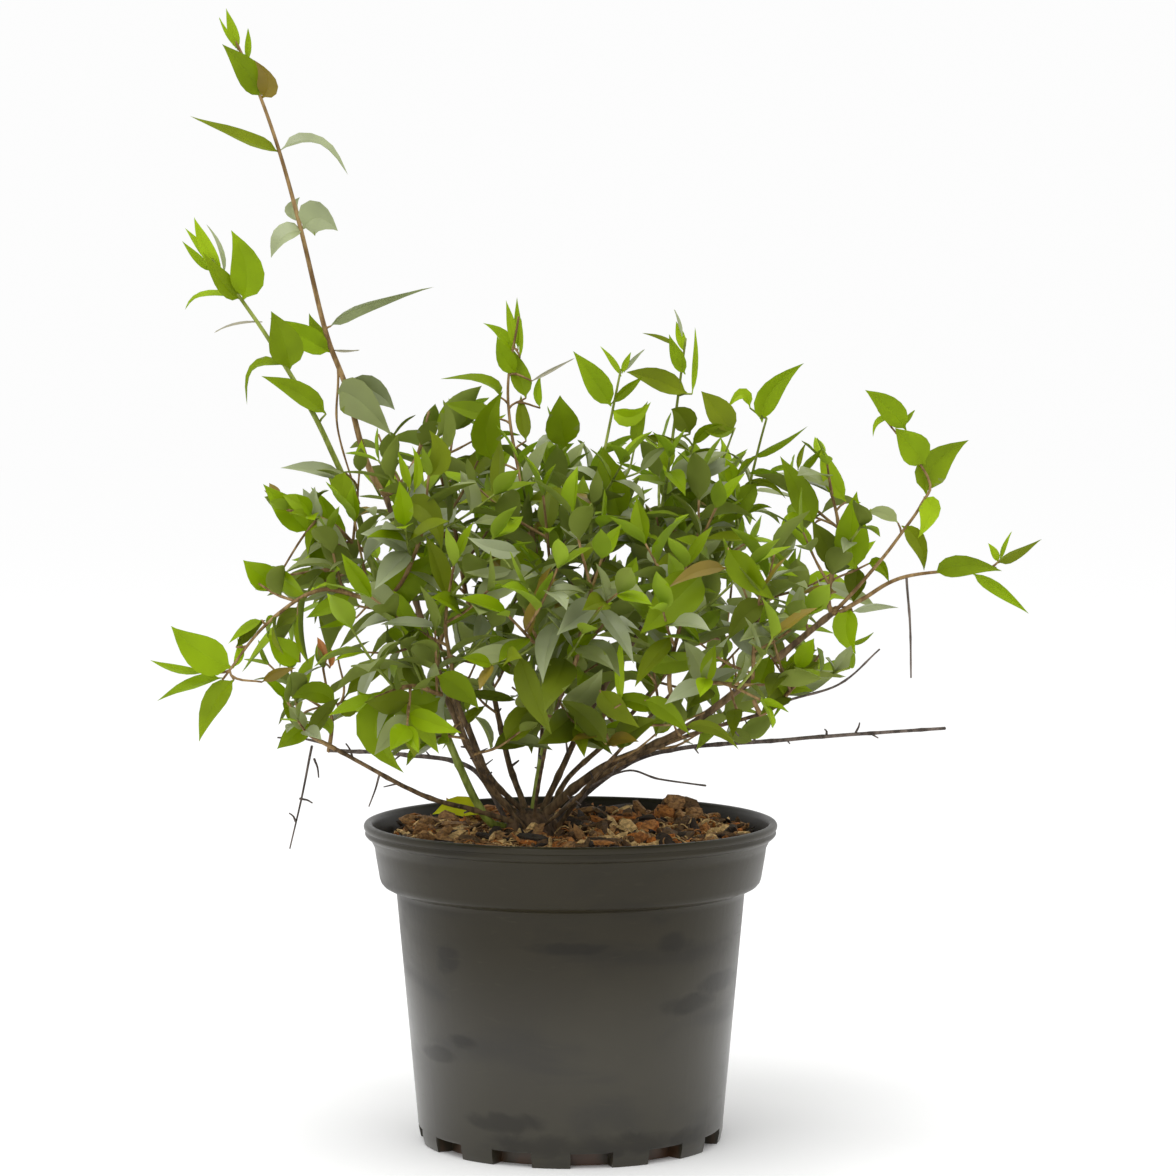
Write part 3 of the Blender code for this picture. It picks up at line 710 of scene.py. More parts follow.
BOUGHS = (
    Bough("leader_cane", ((-40, -1, 168), (-60, 5, 212), (-85, 10, 296)), 2.2, 1.5),
    Bough("green_cane", ((-38, -11, 149), (-48, -14, 168), (-66, -16, 211), (-93, -12, 272)), 2.3, 1.9,
          Wood.GREEN),
    Bough("left_bough", ((-38, -20, 172), (-55, -34, 212), (-82, -50, 252)), 1.6, 1.3),
    Bough("low_left_bough", ((-42, -14, 153), (-68, -24, 162), (-106, -35, 184)), 1.6, 1.1,
          Wood.BROWN, (((-86, -29, 172), (-91, -29, 157)), ((-98, -32, 179), (-101, -33, 186)))),
    Bough("flat_left_bough", ((-46, 10, 170), (-79, 22, 175), (-113, 30, 176)), 1.5, 1.1, Wood.DEAD,
          (((-121, 31, 178), (-132, 36, 129)), ((-127, 33, 153), (-121, 32, 151)),
           ((-120, 31, 172), (-118, 32, 163)), ((-129, 34, 142), (-132, 34, 146)))),
    Bough("centre_left_bough", ((-28, 14, 170), (-35, 26, 198), (-43, 40, 234)), 1.9, 1.3),
    Bough("centre_bough", ((-14, -1, 172), (-9, 0, 198), (-3, -5, 229)), 1.9, 1.4, Wood.GREEN),
    Bough("centre_right_bough", ((-5, 8, 168), (9, 18, 196), (34, 20, 236)), 2.0, 1.4),
    Bough("right_bough", ((14, -10, 172), (55, -18, 193), (118, -25, 244)), 2.8, 1.7),
    Bough("right_lower_bough", ((12, -24, 169), (48, -44, 189), (84, -70, 203)), 1.5, 1.0),
    Bough("right_bare_twig", ((34, 4, 176), (104, -8, 185.5), (171, -10, 190.5)), 1.5, 0.9, Wood.DEAD,
          (((84, -5, 183), (85, -6, 200)), ((130, -9, 188), (132, -9, 193)),
           ((117, -8, 187), (116, -9, 190)))),
    Bough("low_bare_twig", ((5, -26, 163), (25, -36, 174), (40, -38, 170.5), (61, -38, 167.5)), 0.75, 0.5,
          Wood.DEAD),
    Bough("back_right_bough", ((-2, 22, 163), (20, 44, 182), (57, 75, 222)), 1.7, 1.1),
    Bough("back_bough", ((-15, 22, 166), (-12, 45, 195), (-5, 80, 236)), 1.6, 1.1),
    Bough("back_left_bough", ((-35, 14, 160), (-47, 42, 184), (-63, 75, 222)), 1.1, 0.9),
    Bough("front_left_bough", ((-34, -20, 163), (-44, -46, 184), (-52, -80, 213)), 1.0, 0.9),
    Bough("front_bough", ((-14, -26, 168), (-9, -50, 194), (0, -85, 222)), 1.0, 0.9),
    Bough("front_right_bough", ((2, -30, 160), (18, -56, 181), (44, -90, 214)), 1.1, 0.9),
)

SPRAYS = (
    Spray("leader_spray", "leader_cane",
          ((-103, 5, 347), (-112, 3, 372), (-122.5, 0, 417), (-131.5, -3, 451), (-141, -5, 479),
           (-151, -8, 502)),
          0, 34.0, 34.0, 78.0, ((0.30, (-97, 10, 292), (-5.0, 0.0, 3.0)),),
          plain_below=0.0, bare_wood=Wood.RED, stem_radius=1.5),
    Spray("inner_left_spray", "leader_cane", ((-72, 24, 312), (-66, 34, 334)), 3),
    Spray("green_spray", "green_cane",
          ((-110, -20, 322), (-132, -25, 362), (-147, -29, 385), (-160, -33, 403)),
          0, 30.0, 20.0, 60.0, wood=Wood.GREEN, youth=0.4, plain_below=0.1, stem_radius=1.6),
    Spray("left_upper_spray", "green_cane", ((-108, -34, 286), (-126, -46, 292)), 3, 26.0),
    Spray("left_tip_spray", "left_bough", ((-110, -58, 257), (-134, -64, 242), (-153, -68, 218)),
          2, 26.0, 15.0, 40.0, side_reach=24.0, youth=0.2, plain_below=0.6),
    Spray("left_round_spray", "left_bough", ((-102, -38, 264), (-128, -34, 262)), 3),
    Spray("left_fill_spray", "left_bough", ((-66, -62, 280), (-62, -66, 308))),
    Spray("low_left_spray", "low_left_bough", ((-118, -40, 192), (-126, -46, 206)), 2, 23.0),
    Spray("flat_left_spray", "flat_left_bough", ((-112, 34, 190), (-116, 36, 214)), 1, 21.0,
          bare_twigs=((0.08, (-137, 30, 182), (0.8, 0.0, 1.0)),)),
    Spray("top_left_spray", "centre_left_bough", ((-55, 44, 281), (-66, 46, 322)), 5),
    Spray("back_core_spray", "centre_left_bough", ((-24, 64, 248), (-20, 76, 276))),
    Spray("crown_left_spray", "centre_bough", ((-20, 10, 290), (-29, 24, 340), (-24, 20, 378)),
          5, youth=0.2, plain_below=0.5),
    Spray("crown_middle_spray", "centre_bough", ((12, -2, 300), (23, 0, 354)),
          5, wood=Wood.GREEN, youth=0.15, plain_below=0.55),
    Spray("centre_spray", "centre_bough", ((-8, -26, 258), (-12, -38, 298)), 5),
    Spray("crown_right_spray", "centre_right_bough", ((44, 20, 300), (53, 16, 368)),
          5, wood=Wood.GREEN, youth=0.15, plain_below=0.5),
    Spray("upper_right_spray", "centre_right_bough", ((72, 36, 268), (91, 30, 331)),
          5, wood=Wood.GREEN, plain_below=0.62),
    Spray("inner_right_spray", "centre_right_bough", ((52, -8, 262), (66, -22, 292)), 4),
    Spray("right_arch_spray", "right_bough",
          ((137.5, -27, 265.5), (149, -28, 280.5), (158, -29, 294), (160.5, -30, 306), (138, -32, 336)),
          0, 28.0, 18.0, 10.0, youth=0.3, plain_below=0.1, stem_radius=0.95),
    Spray("far_right_spray", "right_bough", ((131, -28, 250.5), (151, -34, 261.5), (190, -44, 266)),
          0, 33.0, 19.0, 75.0, ((0.49, (153, -36, 216), (0.6, 0.0, 1.0)),), youth=0.3, plain_below=0.1),
    Spray("right_upper_spray", "right_bough", ((122, -14, 280), (114, -8, 314)), 4),
    Spray("right_low_spray", "right_lower_bough", ((98, -80, 216), (110, -86, 232)), 3, 26.0,
          bare_twigs=((0.2, (135, -86, 233), (5.0, 0.0, -3.0)),)),
    Spray("right_front_spray", "right_lower_bough", ((80, -88, 230), (82, -102, 258))),
    Spray("back_left_spray", "back_left_bough", ((-80, 88, 240), (-94, 98, 262)), 5),
    Spray("back_left_upper_spray", "back_left_bough", ((-62, 82, 262), (-58, 88, 300)), 5),
    Spray("back_upper_spray", "back_bough", ((-8, 92, 276), (-6, 100, 314)), 5),
    Spray("back_spray", "back_bough", ((14, 100, 258), (26, 120, 286)), 5),
    Spray("back_right_upper_spray", "back_right_bough", ((64, 84, 266), (74, 92, 302)), 5),
    Spray("back_right_spray", "back_right_bough", ((84, 86, 236), (112, 96, 252)), 5),
    Spray("front_left_spray", "front_left_bough", ((-68, -96, 218), (-84, -110, 214))),
    Spray("front_left_upper_spray", "front_left_bough", ((-54, -88, 244), (-50, -98, 270))),
    Spray("front_upper_spray", "front_bough", ((6, -96, 248), (14, -108, 274))),
    Spray("front_spray", "front_bough", ((-14, -102, 236), (-26, -118, 250))),
    Spray("front_right_upper_spray", "front_right_bough", ((48, -96, 246), (50, -104, 270))),
    Spray("front_right_spray", "front_right_bough", ((64, -104, 220), (82, -120, 214))),
)

SHADE, OLIVE, GREEN, FRESH, LIME, SHEEN, PALE, BRONZE, FADED, DRY = list(LeafTint)[:10]

# Leaves that the photograph shows one by one, as read off it in pixels: across and down of the
# root, middle and tip of the midrib, the width, the turn away from facing the camera in
# degrees, how much deeper in millimetres the tip lies than the root, and the tint.
# Of the tints here, the shaded one is painted shade and the two satin ones are a painted sheen.
SHOWN_LEAVES = {
    "left_fill_spray": (
        (384, 590, 406, 620, 434, 663, 26, 15, -12, FRESH), (372, 598, 408, 580, 441, 548, 36, 15, -8, GREEN),
        (404, 502, 430, 514, 442, 551, 26, 12, -10, OLIVE), (430, 476, 440, 455, 429, 430, 22, 10, -3, OLIVE),
        (410, 490, 404, 470, 398, 452, 9, 15, -3, LIME), (414, 492, 418, 468, 412, 446, 10, 20, 0, LIME),
        (430, 507, 407, 511, 380, 521, 13, 25, -4, PALE),),
    "low_left_spray": (
        (336, 703, 314, 692, 291, 699, 22, 15, -3, GREEN), (338, 707, 350, 707, 358, 699, 18, 10, -2, OLIVE),
        (310, 722, 292, 715, 283, 695, 13, 15, -3, GREEN), (312, 724, 294, 735, 277, 749, 22, 8, -5, GREEN),
        (318, 718, 328, 724, 330, 736, 13, 20, 2, GREEN), (318, 718, 328, 709, 338, 700, 10, 20, 2, OLIVE),
        (345, 697, 372, 670, 402, 660, 18, 25, 3, OLIVE), (338, 657, 353, 648, 370, 641, 10, 50, 4, SHEEN),),
    "front_left_spray": (
        (404, 693, 374, 728, 404, 773, 36, 12, -6, GREEN), (385, 690, 372, 699, 357, 690, 11, 10, -3, FRESH),
        (440, 698, 415, 705, 388, 694, 32, 12, -4, GREEN), (405, 728, 413, 741, 414, 758, 16, 20, 8, OLIVE),
        (437, 676, 459, 687, 479, 709, 26, 15, 0, GREEN),),
    "front_left_upper_spray": (
        (520, 552, 495, 549, 467, 537, 18, 20, -8, PALE), (512, 570, 490, 574, 464, 572, 14, 30, -6, SHEEN),),
    "right_low_spray": (
        (770, 690, 791, 686, 814, 692, 16, 20, -4, GREEN), (775, 662, 798, 667, 823, 676, 10, 40, -3, GREEN),
        (770, 655, 762, 678, 752, 701, 22, 15, -2, GREEN),),
    "right_front_spray": (
        (765, 604, 745, 615, 728, 641, 24, 10, -2, SHADE),
        (728, 548, 747, 574, 776, 601, 28, 15, -4, GREEN),),
    "front_right_upper_spray": (
        (600, 690, 614, 706, 640, 728, 24, 20, 2, OLIVE), (621, 704, 619, 668, 622, 634, 10, 20, -3, LIME),
        (606, 744, 586, 718, 560, 700, 24, 15, -3, SHADE), (655, 712, 634, 702, 606, 700, 20, 25, 4, GREEN),
        (642, 668, 680, 661, 722, 661, 22, 25, -4, GREEN), (702, 574, 674, 601, 640, 634, 42, 8, -10, GREEN),
        (726, 568, 699, 571, 668, 588, 17, 25, -14, BRONZE),
        (645, 700, 667, 711, 690, 735, 20, 15, -4, GREEN),
        (684, 728, 713, 728, 739, 750, 13, 20, -4, OLIVE),),
    "leader_spray": (
        (238, 50, 232, 30, 226, 8, 11, 10, -4, LIME), (236, 48, 226, 32, 219, 17, 5, 30, 2, LIME),
        (247, 62, 248, 44, 248, 28, 7, 20, 4, FRESH), (261, 97, 247, 72, 222, 44, 28, 15, -8, GREEN),
        (262, 98, 268, 80, 254, 60, 22, -18, -12, BRONZE), (279, 152, 243, 139, 190, 116, 26, 52, -6, OLIVE),
        (281, 150, 317, 142, 348, 175, 24, -58, 4, PALE), (303, 229, 318, 218, 338, 231, 36, 10, -8, PALE),
        (301, 222, 291, 212, 300, 197, 18, 30, 8, PALE), (303, 231, 284, 236, 271, 258, 26, 32, -6, PALE),
        (331, 326, 364, 306, 434, 287, 22, 62, 4, PALE), (330, 352, 303, 337, 270, 318, 26, 14, -8, FRESH),
        (331, 353, 318, 336, 309, 313, 18, 30, 4, GREEN), (337, 392, 360, 401, 392, 436, 38, 12, -6, SHEEN),
        (344, 388, 371, 390, 395, 410, 32, 20, 6, PALE), (333, 350, 346, 351, 360, 350, 3, 30, -1, DRY),),
    "green_spray": (
        (222, 277, 205, 246, 194, 217, 15, 12, -4, LIME), (216, 270, 200, 247, 185, 228, 9, 20, 4, LIME),
        (212, 272, 197, 257, 182, 241, 9, -25, -2, FRESH), (224, 274, 220, 248, 206, 224, 6, 40, 6, PALE),
        (243, 300, 246, 268, 231, 230, 34, 10, -6, FRESH), (240, 299, 221, 281, 203, 252, 22, 28, -10, GREEN),
        (238, 298, 203, 295, 185, 310, 12, 55, 4, LIME), (290, 369, 284, 341, 271, 311, 34, 6, -8, GREEN),
        (286, 366, 254, 367, 247, 405, 13, 48, 5, GREEN), (326, 414, 298, 393, 261, 376, 24, 26, -8, GREEN),
        (345, 480, 316, 470, 280, 468, 20, 42, -10, PALE), (352, 502, 342, 487, 327, 476, 24, 12, 6, GREEN),
        (262, 322, 235, 324, 214, 333, 3, 20, -3, DRY),),
    "left_upper_spray": (
        (345, 472, 343, 490, 352, 513, 22, 10, -2, GREEN), (308, 532, 287, 510, 263, 484, 28, 15, -6, FRESH),
        (330, 548, 313, 523, 299, 498, 26, 24, 4, GREEN), (336, 562, 331, 523, 311, 487, 26, -10, -4, FRESH),
        (325, 582, 322, 552, 311, 522, 30, 8, -8, GREEN), (328, 575, 345, 558, 361, 541, 22, 28, 2, OLIVE),
        (274, 583, 259, 574, 243, 560, 27, 0, -6, FRESH),),
    "left_tip_spray": (
        (352, 594, 328, 607, 306, 618, 17, 20, -4, FRESH), (262, 620, 246, 629, 228, 644, 12, 35, -3, FRESH),
        (300, 616, 288, 618, 276, 629, 16, 20, 2, SHADE), (331, 592, 316, 597, 300, 603, 9, 40, 4, SHEEN),
        (356, 618, 338, 624, 318, 628, 9, 40, 0, FRESH), (232, 668, 200, 652, 171, 626, 36, 6, -4, FRESH),
        (222, 678, 190, 686, 157, 701, 20, 50, 4, FRESH), (205, 673, 176, 669, 150, 660, 9, 20, 10, FRESH),
        (234, 680, 214, 704, 199, 742, 26, 24, -6, GREEN), (233, 668, 240, 652, 237, 638, 9, 10, 4, LIME),
        (236, 647, 250, 630, 266, 620, 13, 30, 12, SHADE), (300, 662, 283, 650, 268, 634, 26, 10, -4, FRESH),
        (262, 682, 278, 672, 296, 668, 14, 40, 2, BRONZE),),
    "flat_left_spray": (
        (326, 664, 322, 648, 317, 637, 10, 10, -2, FADED), (330, 668, 331, 656, 328, 646, 8, 30, 4, FADED),),
    "right_arch_spray": (
        (906, 430, 888, 408, 865, 390, 25, 8, -4, FRESH), (903, 426, 909, 417, 915, 410, 5, 10, 4, GREEN),
        (890, 418, 878, 422, 873, 437, 8, 35, 3, LIME), (925, 464, 911, 446, 895, 428, 32, 10, -6, FRESH),
        (926, 494, 934, 465, 969, 440, 33, 12, 5, GREEN), (924, 497, 930, 513, 918, 538, 22, 12, -4, LIME),
        (898, 523, 882, 513, 866, 514, 16, 26, 4, SHEEN), (902, 526, 919, 543, 924, 571, 18, 18, -3, OLIVE),),
    "far_right_spray": (
        (935, 573, 964, 565, 1002, 571, 22, 18, -10, GREEN),
        (972, 573, 1000, 590, 1029, 614, 15, 35, 4, FRESH),
        (998, 563, 1016, 553, 1042, 539, 15, 42, -4, OLIVE),
        (1000, 560, 1004, 546, 1012, 531, 6, 30, 4, LIME), (998, 562, 994, 552, 988, 543, 8, 10, -3, LIME),),
    "crown_left_spray": (
        (515, 347, 511, 325, 506, 300, 10, 10, -3, LIME), (518, 350, 517, 325, 517, 297, 9, 30, 4, FRESH),
        (520, 358, 521, 338, 521, 318, 5, 30, -2, LIME), (513, 354, 503, 336, 483, 323, 14, 22, 3, FRESH),
        (516, 373, 504, 357, 497, 336, 20, 8, -5, FRESH), (526, 398, 519, 374, 510, 345, 21, 12, 4, GREEN),
        (500, 397, 484, 381, 440, 379, 19, 48, -3, GREEN), (492, 460, 486, 427, 503, 391, 31, 8, -8, GREEN),
        (497, 418, 471, 411, 443, 403, 22, 32, 5, GREEN), (532, 381, 552, 370, 575, 358, 4, 10, -3, DRY),
        (540, 408, 537, 391, 541, 375, 10, 24, 3, FRESH), (566, 447, 561, 421, 560, 395, 36, 6, -7, GREEN),
        (526, 441, 522, 418, 521, 395, 16, 20, 6, OLIVE), (557, 445, 544, 441, 533, 469, 12, 40, -4, PALE),),
    "crown_middle_spray": (
        (622, 520, 610, 482, 603, 446, 34, 10, -8, GREEN), (640, 472, 652, 456, 668, 447, 12, 30, 0, SHEEN),
        (611, 406, 594, 380, 573, 351, 26, 8, -5, FRESH), (621, 376, 612, 361, 600, 346, 7, 20, 3, LIME),
        (622, 373, 626, 362, 631, 352, 7, 20, -2, LIME), (624, 372, 633, 360, 645, 349, 5, 30, 4, PALE),
        (611, 404, 628, 388, 643, 377, 12, 36, 2, GREEN), (612, 409, 631, 417, 651, 402, 19, 12, -5, LIME),
        (635, 447, 638, 424, 648, 401, 14, 12, 3, GREEN),),
    "crown_right_spray": (
        (734, 462, 708, 471, 680, 493, 17, 20, -12, PALE), (735, 428, 718, 433, 702, 428, 12, 20, -2, GREEN),
        (645, 436, 668, 441, 690, 451, 10, 25, 0, OLIVE), (685, 374, 676, 356, 669, 334, 15, 10, -3, FRESH),
        (684, 352, 680, 336, 676, 321, 10, 14, 3, LIME), (682, 336, 679, 322, 674, 309, 4, 30, 4, PALE),
        (677, 347, 662, 339, 642, 333, 8, 50, -2, OLIVE), (692, 394, 695, 360, 695, 327, 7, 24, -3, LIME),
        (688, 394, 656, 380, 626, 372, 26, 22, -6, OLIVE), (690, 434, 682, 417, 671, 409, 26, 10, -5, SHADE),
        (693, 446, 706, 430, 724, 425, 13, 30, -4, GREEN), (690, 452, 676, 443, 664, 444, 12, 40, 3, SHEEN),
        (689, 466, 702, 452, 719, 450, 12, 35, -5, OLIVE), (733, 434, 717, 411, 701, 391, 30, 16, 4, OLIVE),),
    "upper_right_spray": (
        (757, 482, 735, 508, 705, 531, 26, 15, -6, GREEN), (740, 490, 764, 482, 786, 499, 9, 30, -2, OLIVE),
        (745, 515, 758, 506, 772, 508, 8, 40, -2, GREEN), (762, 422, 771, 392, 804, 363, 24, 10, -4, FRESH),
        (760, 418, 767, 393, 782, 374, 17, 24, 4, SHADE), (750, 408, 742, 394, 727, 409, 13, 20, -2, LIME),
        (752, 457, 777, 446, 808, 426, 11, 50, 3, GREEN),),
    "right_upper_spray": (
        (836, 592, 818, 590, 800, 594, 10, 30, 2, BRONZE), (830, 600, 800, 611, 775, 621, 16, 30, 0, SHEEN),
        (800, 512, 790, 525, 778, 539, 18, 10, -4, LIME), (814, 524, 799, 492, 780, 456, 28, 10, -6, GREEN),
        (801, 472, 811, 460, 824, 447, 11, 40, -2, GREEN), (798, 470, 800, 456, 806, 443, 6, 20, 3, OLIVE),
        (846, 502, 829, 474, 822, 445, 20, 10, -4, LIME), (856, 570, 851, 533, 857, 491, 35, 4, -8, FRESH),
        (838, 570, 826, 545, 812, 521, 26, 10, 4, SHADE), (850, 607, 846, 631, 856, 654, 26, 16, -10, FRESH),
        (852, 612, 874, 606, 899, 608, 12, 48, 2, PALE), (868, 564, 881, 566, 889, 583, 14, 16, -5, GREEN),
        (857, 566, 856, 583, 853, 603, 24, 20, 4, SHADE), (850, 644, 862, 640, 874, 632, 7, 40, -3, GREEN),),
}


@dataclass(frozen=True)
class Photo:
    """The photograph's view: where its camera stands, what it aims at, and its scale."""
    eye: Point = (8.0, -1723.0, 368.0)
    aim: Point = (8.0, 0.0, 254.0)
    focal_pixels: float = 3772.0
    frame_pixels: float = 1176.0
    pixels_per_mm: float = 2.18

    def axes(self) -> tuple[np.ndarray, np.ndarray, np.ndarray]:
        """Return the view's directions to the right, up and forward."""
        forward = unit(np.array(self.aim) - self.eye)
        return RIGHT, np.cross(RIGHT, forward), forward

    def place(self, across: float, down: float, depth: float) -> np.ndarray:
        """Return the point that a pixel shows where its line of sight reaches y = depth.

        Args:
            across: pixels from the left.
            down: pixels from the top.
            depth: the point's y.

        Returns:
            The point.
        """
        right, up, forward = self.axes()
        half = self.frame_pixels / 2
        ray = forward + (right * (across - half) + up * (half - down)) / self.focal_pixels
        return self.eye + ray * (depth - self.eye[1]) / ray[1]

    def pixels(self, points: np.ndarray) -> np.ndarray:
        """Return the pixels that show the points, as (across, down).

        Args:
            points: the points, in rows of three.

        Returns:
            The pixels, in rows of two.
        """
        right, up, forward = self.axes()
        off = points - self.eye
        scale = self.focal_pixels / (off @ forward)
        half = self.frame_pixels / 2
        return np.stack([half + off @ right * scale, half - off @ up * scale], axis=-1)


PHOTO = Photo()


@dataclass
class Stage:
    """The floor, the lights and the camera, which stand where the photograph's did.

    Each of the lights is a square softbox: its name, its place, its side and its watts.
    """
    floor_radius: float = 9000.0
    floor_roughness: float = 0.6
    sky: float = 0.98
    lights: tuple = (("overhead softbox", (-300.0, -500.0, 1900.0), 1300.0, 16.0),
                     ("front softbox", (-900.0, -1900.0, 900.0), 1200.0, 3.0))
    light_aim: Point = (0.0, 0.0, 230.0)
    sensor_width: float = 36.0
    sight_m: float = 50.0

    def build(self) -> None:
        """Make the floor, the sky, the lights and the camera."""
        self.floor()
        world = bpy.data.worlds.new("soft studio")
        world.use_nodes = True
        back = world.node_tree.nodes["Background"]
        back.inputs["Color"].default_value = (1.0, 1.0, 1.0, 1.0)
        back.inputs["Strength"].default_value = self.sky
        bpy.context.scene.world = world
        for name, place, side, watts in self.lights:
            data = bpy.data.lights.new(name, "AREA")
            data.energy, data.size = watts, side * MM
            self.hang(data, place, self.light_aim)
        self.camera()

    def floor(self) -> None:
        """Lay a plain pale round floor."""
        angle = angles_round(96)
        rim = np.stack([np.cos(angle), np.sin(angle), np.zeros_like(angle)], axis=1)
        mesh = bpy.data.meshes.new("floor")
        mesh.from_pydata((rim * self.floor_radius * MM).tolist(), [], [tuple(range(len(angle)))])
        finish = Finish("pale floor")
        finish.surface((1.0, 1.0, 1.0), self.floor_roughness, Specular_IOR_Level=0.0)
        mesh.materials.append(finish.material)
        made = bpy.data.objects.new("floor", mesh)
        bpy.context.scene.collection.objects.link(made)

    def hang(self, data: bpy.types.ID, place: Point, aim: Point) -> bpy.types.Object:
        """Put a light or a camera at a place, turned to face another.

        Args:
            data: the light or camera.
            place: where it stands.
            aim: what it faces.

        Returns:
            Its object.
        """
        made = bpy.data.objects.new(data.name, data)
        made.location = Vector(place) * MM
        ahead = (Vector(aim) - Vector(place)) * MM
        made.rotation_euler = ahead.to_track_quat("-Z", "Y").to_euler()
        bpy.context.scene.collection.objects.link(made)
        return made

    def camera(self) -> None:
        """Set the camera at the photograph's place and angle."""
        data = bpy.data.cameras.new("camera")
        data.sensor_width = self.sensor_width
        data.lens = PHOTO.focal_pixels / PHOTO.frame_pixels * data.sensor_width
        data.clip_end = self.sight_m
        bpy.context.scene.camera = self.hang(data, PHOTO.eye, PHOTO.aim)
        bpy.context.scene.view_settings.view_transform = "Standard"


def rounded(corners: Sequence[Point]) -> np.ndarray:
    """Return an outline whose inner corners are replaced by short curves.

    From start before a corner to end after it the curve is
    start(1-t)^2 + 2 corner t(1-t) + end t^2.

    Args:
        corners: the radius, the height and the curve's reach of each corner.

    Returns:
        The rounded outline, in rows of radius and height.
    """
    longest_part = 0.45
    points, reaches = np.array(corners)[:, :2], np.array(corners)[:, 2]
    rows = [points[:1]]
    t = np.linspace(0.0, 1.0, 4)[:, None]
    for before, here, after, reach in zip(points, points[1:], points[2:], reaches[1:]):
        start, end = (here + unit(other - here) * min(reach, np.linalg.norm(other - here) * longest_part)
                      for other in (before, after))
        rows.append(start * (1 - t) ** 2 + here * 2 * t * (1 - t) + end * t**2)
    rows.append(points[-1:])
    return np.concatenate(rows)


@dataclass
class Pot:
    """The nursery pot: wall, shoulder, band, rolled lip and slotted foot."""
    lip_radius: float = 95.0
    height: float = 147.0
    band_top_radius: float = 89.5
    band_top: float = 134.0
    band_foot_radius: float = 87.2
    band_foot: float = 119.0
    shoulder_radius: float = 80.0
    shoulder: float = 114.5
    foot_radius: float = 70.2
    foot: float = 5.0
    base_radius: float = 68.8
    wall: float = 1.3
    floor_radius: float = 47.0
    floor_top: float = 2.2
    ledge_radius: float = 49.0
    ledge: float = 10.2
    middle_radius: float = 0.05
    slots: int = 12
    slot_width: float = 18.5
    slot_height: float = 6.8
    slot_depth_radius: float = 62.0
    slot_turn: float = 8.0

    def outside(self) -> np.ndarray:
        """Return the wall's (radius, height) from the lip's outside down to the foot.

        Returns:
            The outline's points.
        """
        lip, top = self.lip_radius, self.height
        return rounded((
            (lip - 1.8, top - 0.1, 0.5), (lip - 0.6, top - 0.5, 0.5), (lip, top - 1.6, 0.6),
            (lip - 0.2, top - 3.0, 0.5), (lip - 1.0, top - 3.6, 0.25), (lip - 0.9, top - 4.2, 0.25),
            (lip - 0.5, top - 5.4, 0.5), (lip - 1.4, top - 6.6, 0.5), (lip - 3.0, top - 7.4, 0.6),
            (self.band_top_radius + 0.4, self.band_top + 1.5, 1.0),
            (self.band_top_radius, self.band_top - 2.0, 1.0),
            (self.band_foot_radius, self.band_foot - 0.6, 3.0),
            (self.shoulder_radius + 1.0, self.shoulder + 1.8, 0.9),
            (self.shoulder_radius, self.shoulder - 0.4, 0.8),
            (self.foot_radius + 0.25, self.slot_height + 2.6, 0.8),
            (self.foot_radius + 0.1, self.slot_height + 0.6, 0.8)))

    def inside(self) -> np.ndarray:
        """Return the inside's (radius, height) from the middle of the floor up to the lip's top.

        Returns:
            The outline's points.
        """
        floor = ((self.middle_radius, self.floor_top), (self.floor_radius, self.floor_top),
                 (self.ledge_radius, self.ledge))
        band = self.band_foot + 1.5
        heights = np.concatenate([(self.ledge, 40.0, 80.0, self.shoulder, band),
                                  np.linspace(self.band_top - 8.0, self.height - 1.0, 12)])
        radii = np.interp(heights, (10.0, self.shoulder, band, self.band_top, self.height), (
            self.foot_radius - self.wall, self.shoulder_radius - self.wall, self.band_foot_radius - self.wall,
            self.band_top_radius - self.wall, self.lip_radius - 3.6))
        over = ((self.lip_radius - 3.3, self.height - 0.35), (self.lip_radius - 2.6, self.height))
        return np.concatenate([floor, np.stack([radii, heights], axis=1), over])

    def columns(self) -> tuple[np.ndarray, np.ndarray]:
        """Return the angles round the pot, and which of them lie in a drain slot.

        Each slot and each leg has its own even run of angles, with two angles at nearly
        one place where a leg's side stands.

        Returns:
            The angles, and a mark on those in a slot.
        """
        pitch = TURN / self.slots
        half = self.slot_width / self.base_radius / 2.0
        side = 0.0022
        slot = np.linspace(-half, half, 11)
        leg = np.linspace(half + side, pitch - half - side, 9)
        starts = math.radians(self.slot_turn) + pitch * np.arange(self.slots)
        in_slot = np.arange(len(slot) + len(leg)) < len(slot)
        return (starts[:, None] + np.concatenate([slot, leg])[None, :]).ravel(), np.tile(in_slot, self.slots)

    def build(self) -> None:
        """Turn the outline round the axis; in a slot the foot steps in, on a leg it goes on down."""
        deep = self.slot_depth_radius
        leg = ((self.foot_radius, self.foot), (self.base_radius + 0.4, 0.5), (self.base_radius, 0.0),
               (deep + 3.0, 0.0), (deep, 0.0))
        slot = ((self.foot_radius - 0.4, self.slot_height), (self.foot_radius - 1.6, self.slot_height),
                (deep + 0.6, self.slot_height), (deep, self.slot_height - 0.6), (deep, 0.0))
        end = ((self.middle_radius, 0.0),)
        on_leg, on_slot = (np.concatenate([self.inside(), self.outside(), foot, end])[:, None, :]
                           for foot in (leg, slot))
        angle, in_slot = self.columns()
        radius, height = np.moveaxis(np.where(in_slot[:, None], on_slot, on_leg), -1, 0)
        rings = np.stack([radius * np.cos(angle), radius * np.sin(angle), height], axis=-1)
        poles = ((0.0, 0.0, self.floor_top), (0.0, 0.0, 0.0))
        shape = Shape()
        shape.add(np.concatenate([rings.reshape(-1, 3), poles]),
                  [face[::-1] for face in closed_faces(len(rings), len(angle))])
        shape.piece("nursery_pot", [PotPlastic()], "pot_plastic", ["pot"], 40.0)


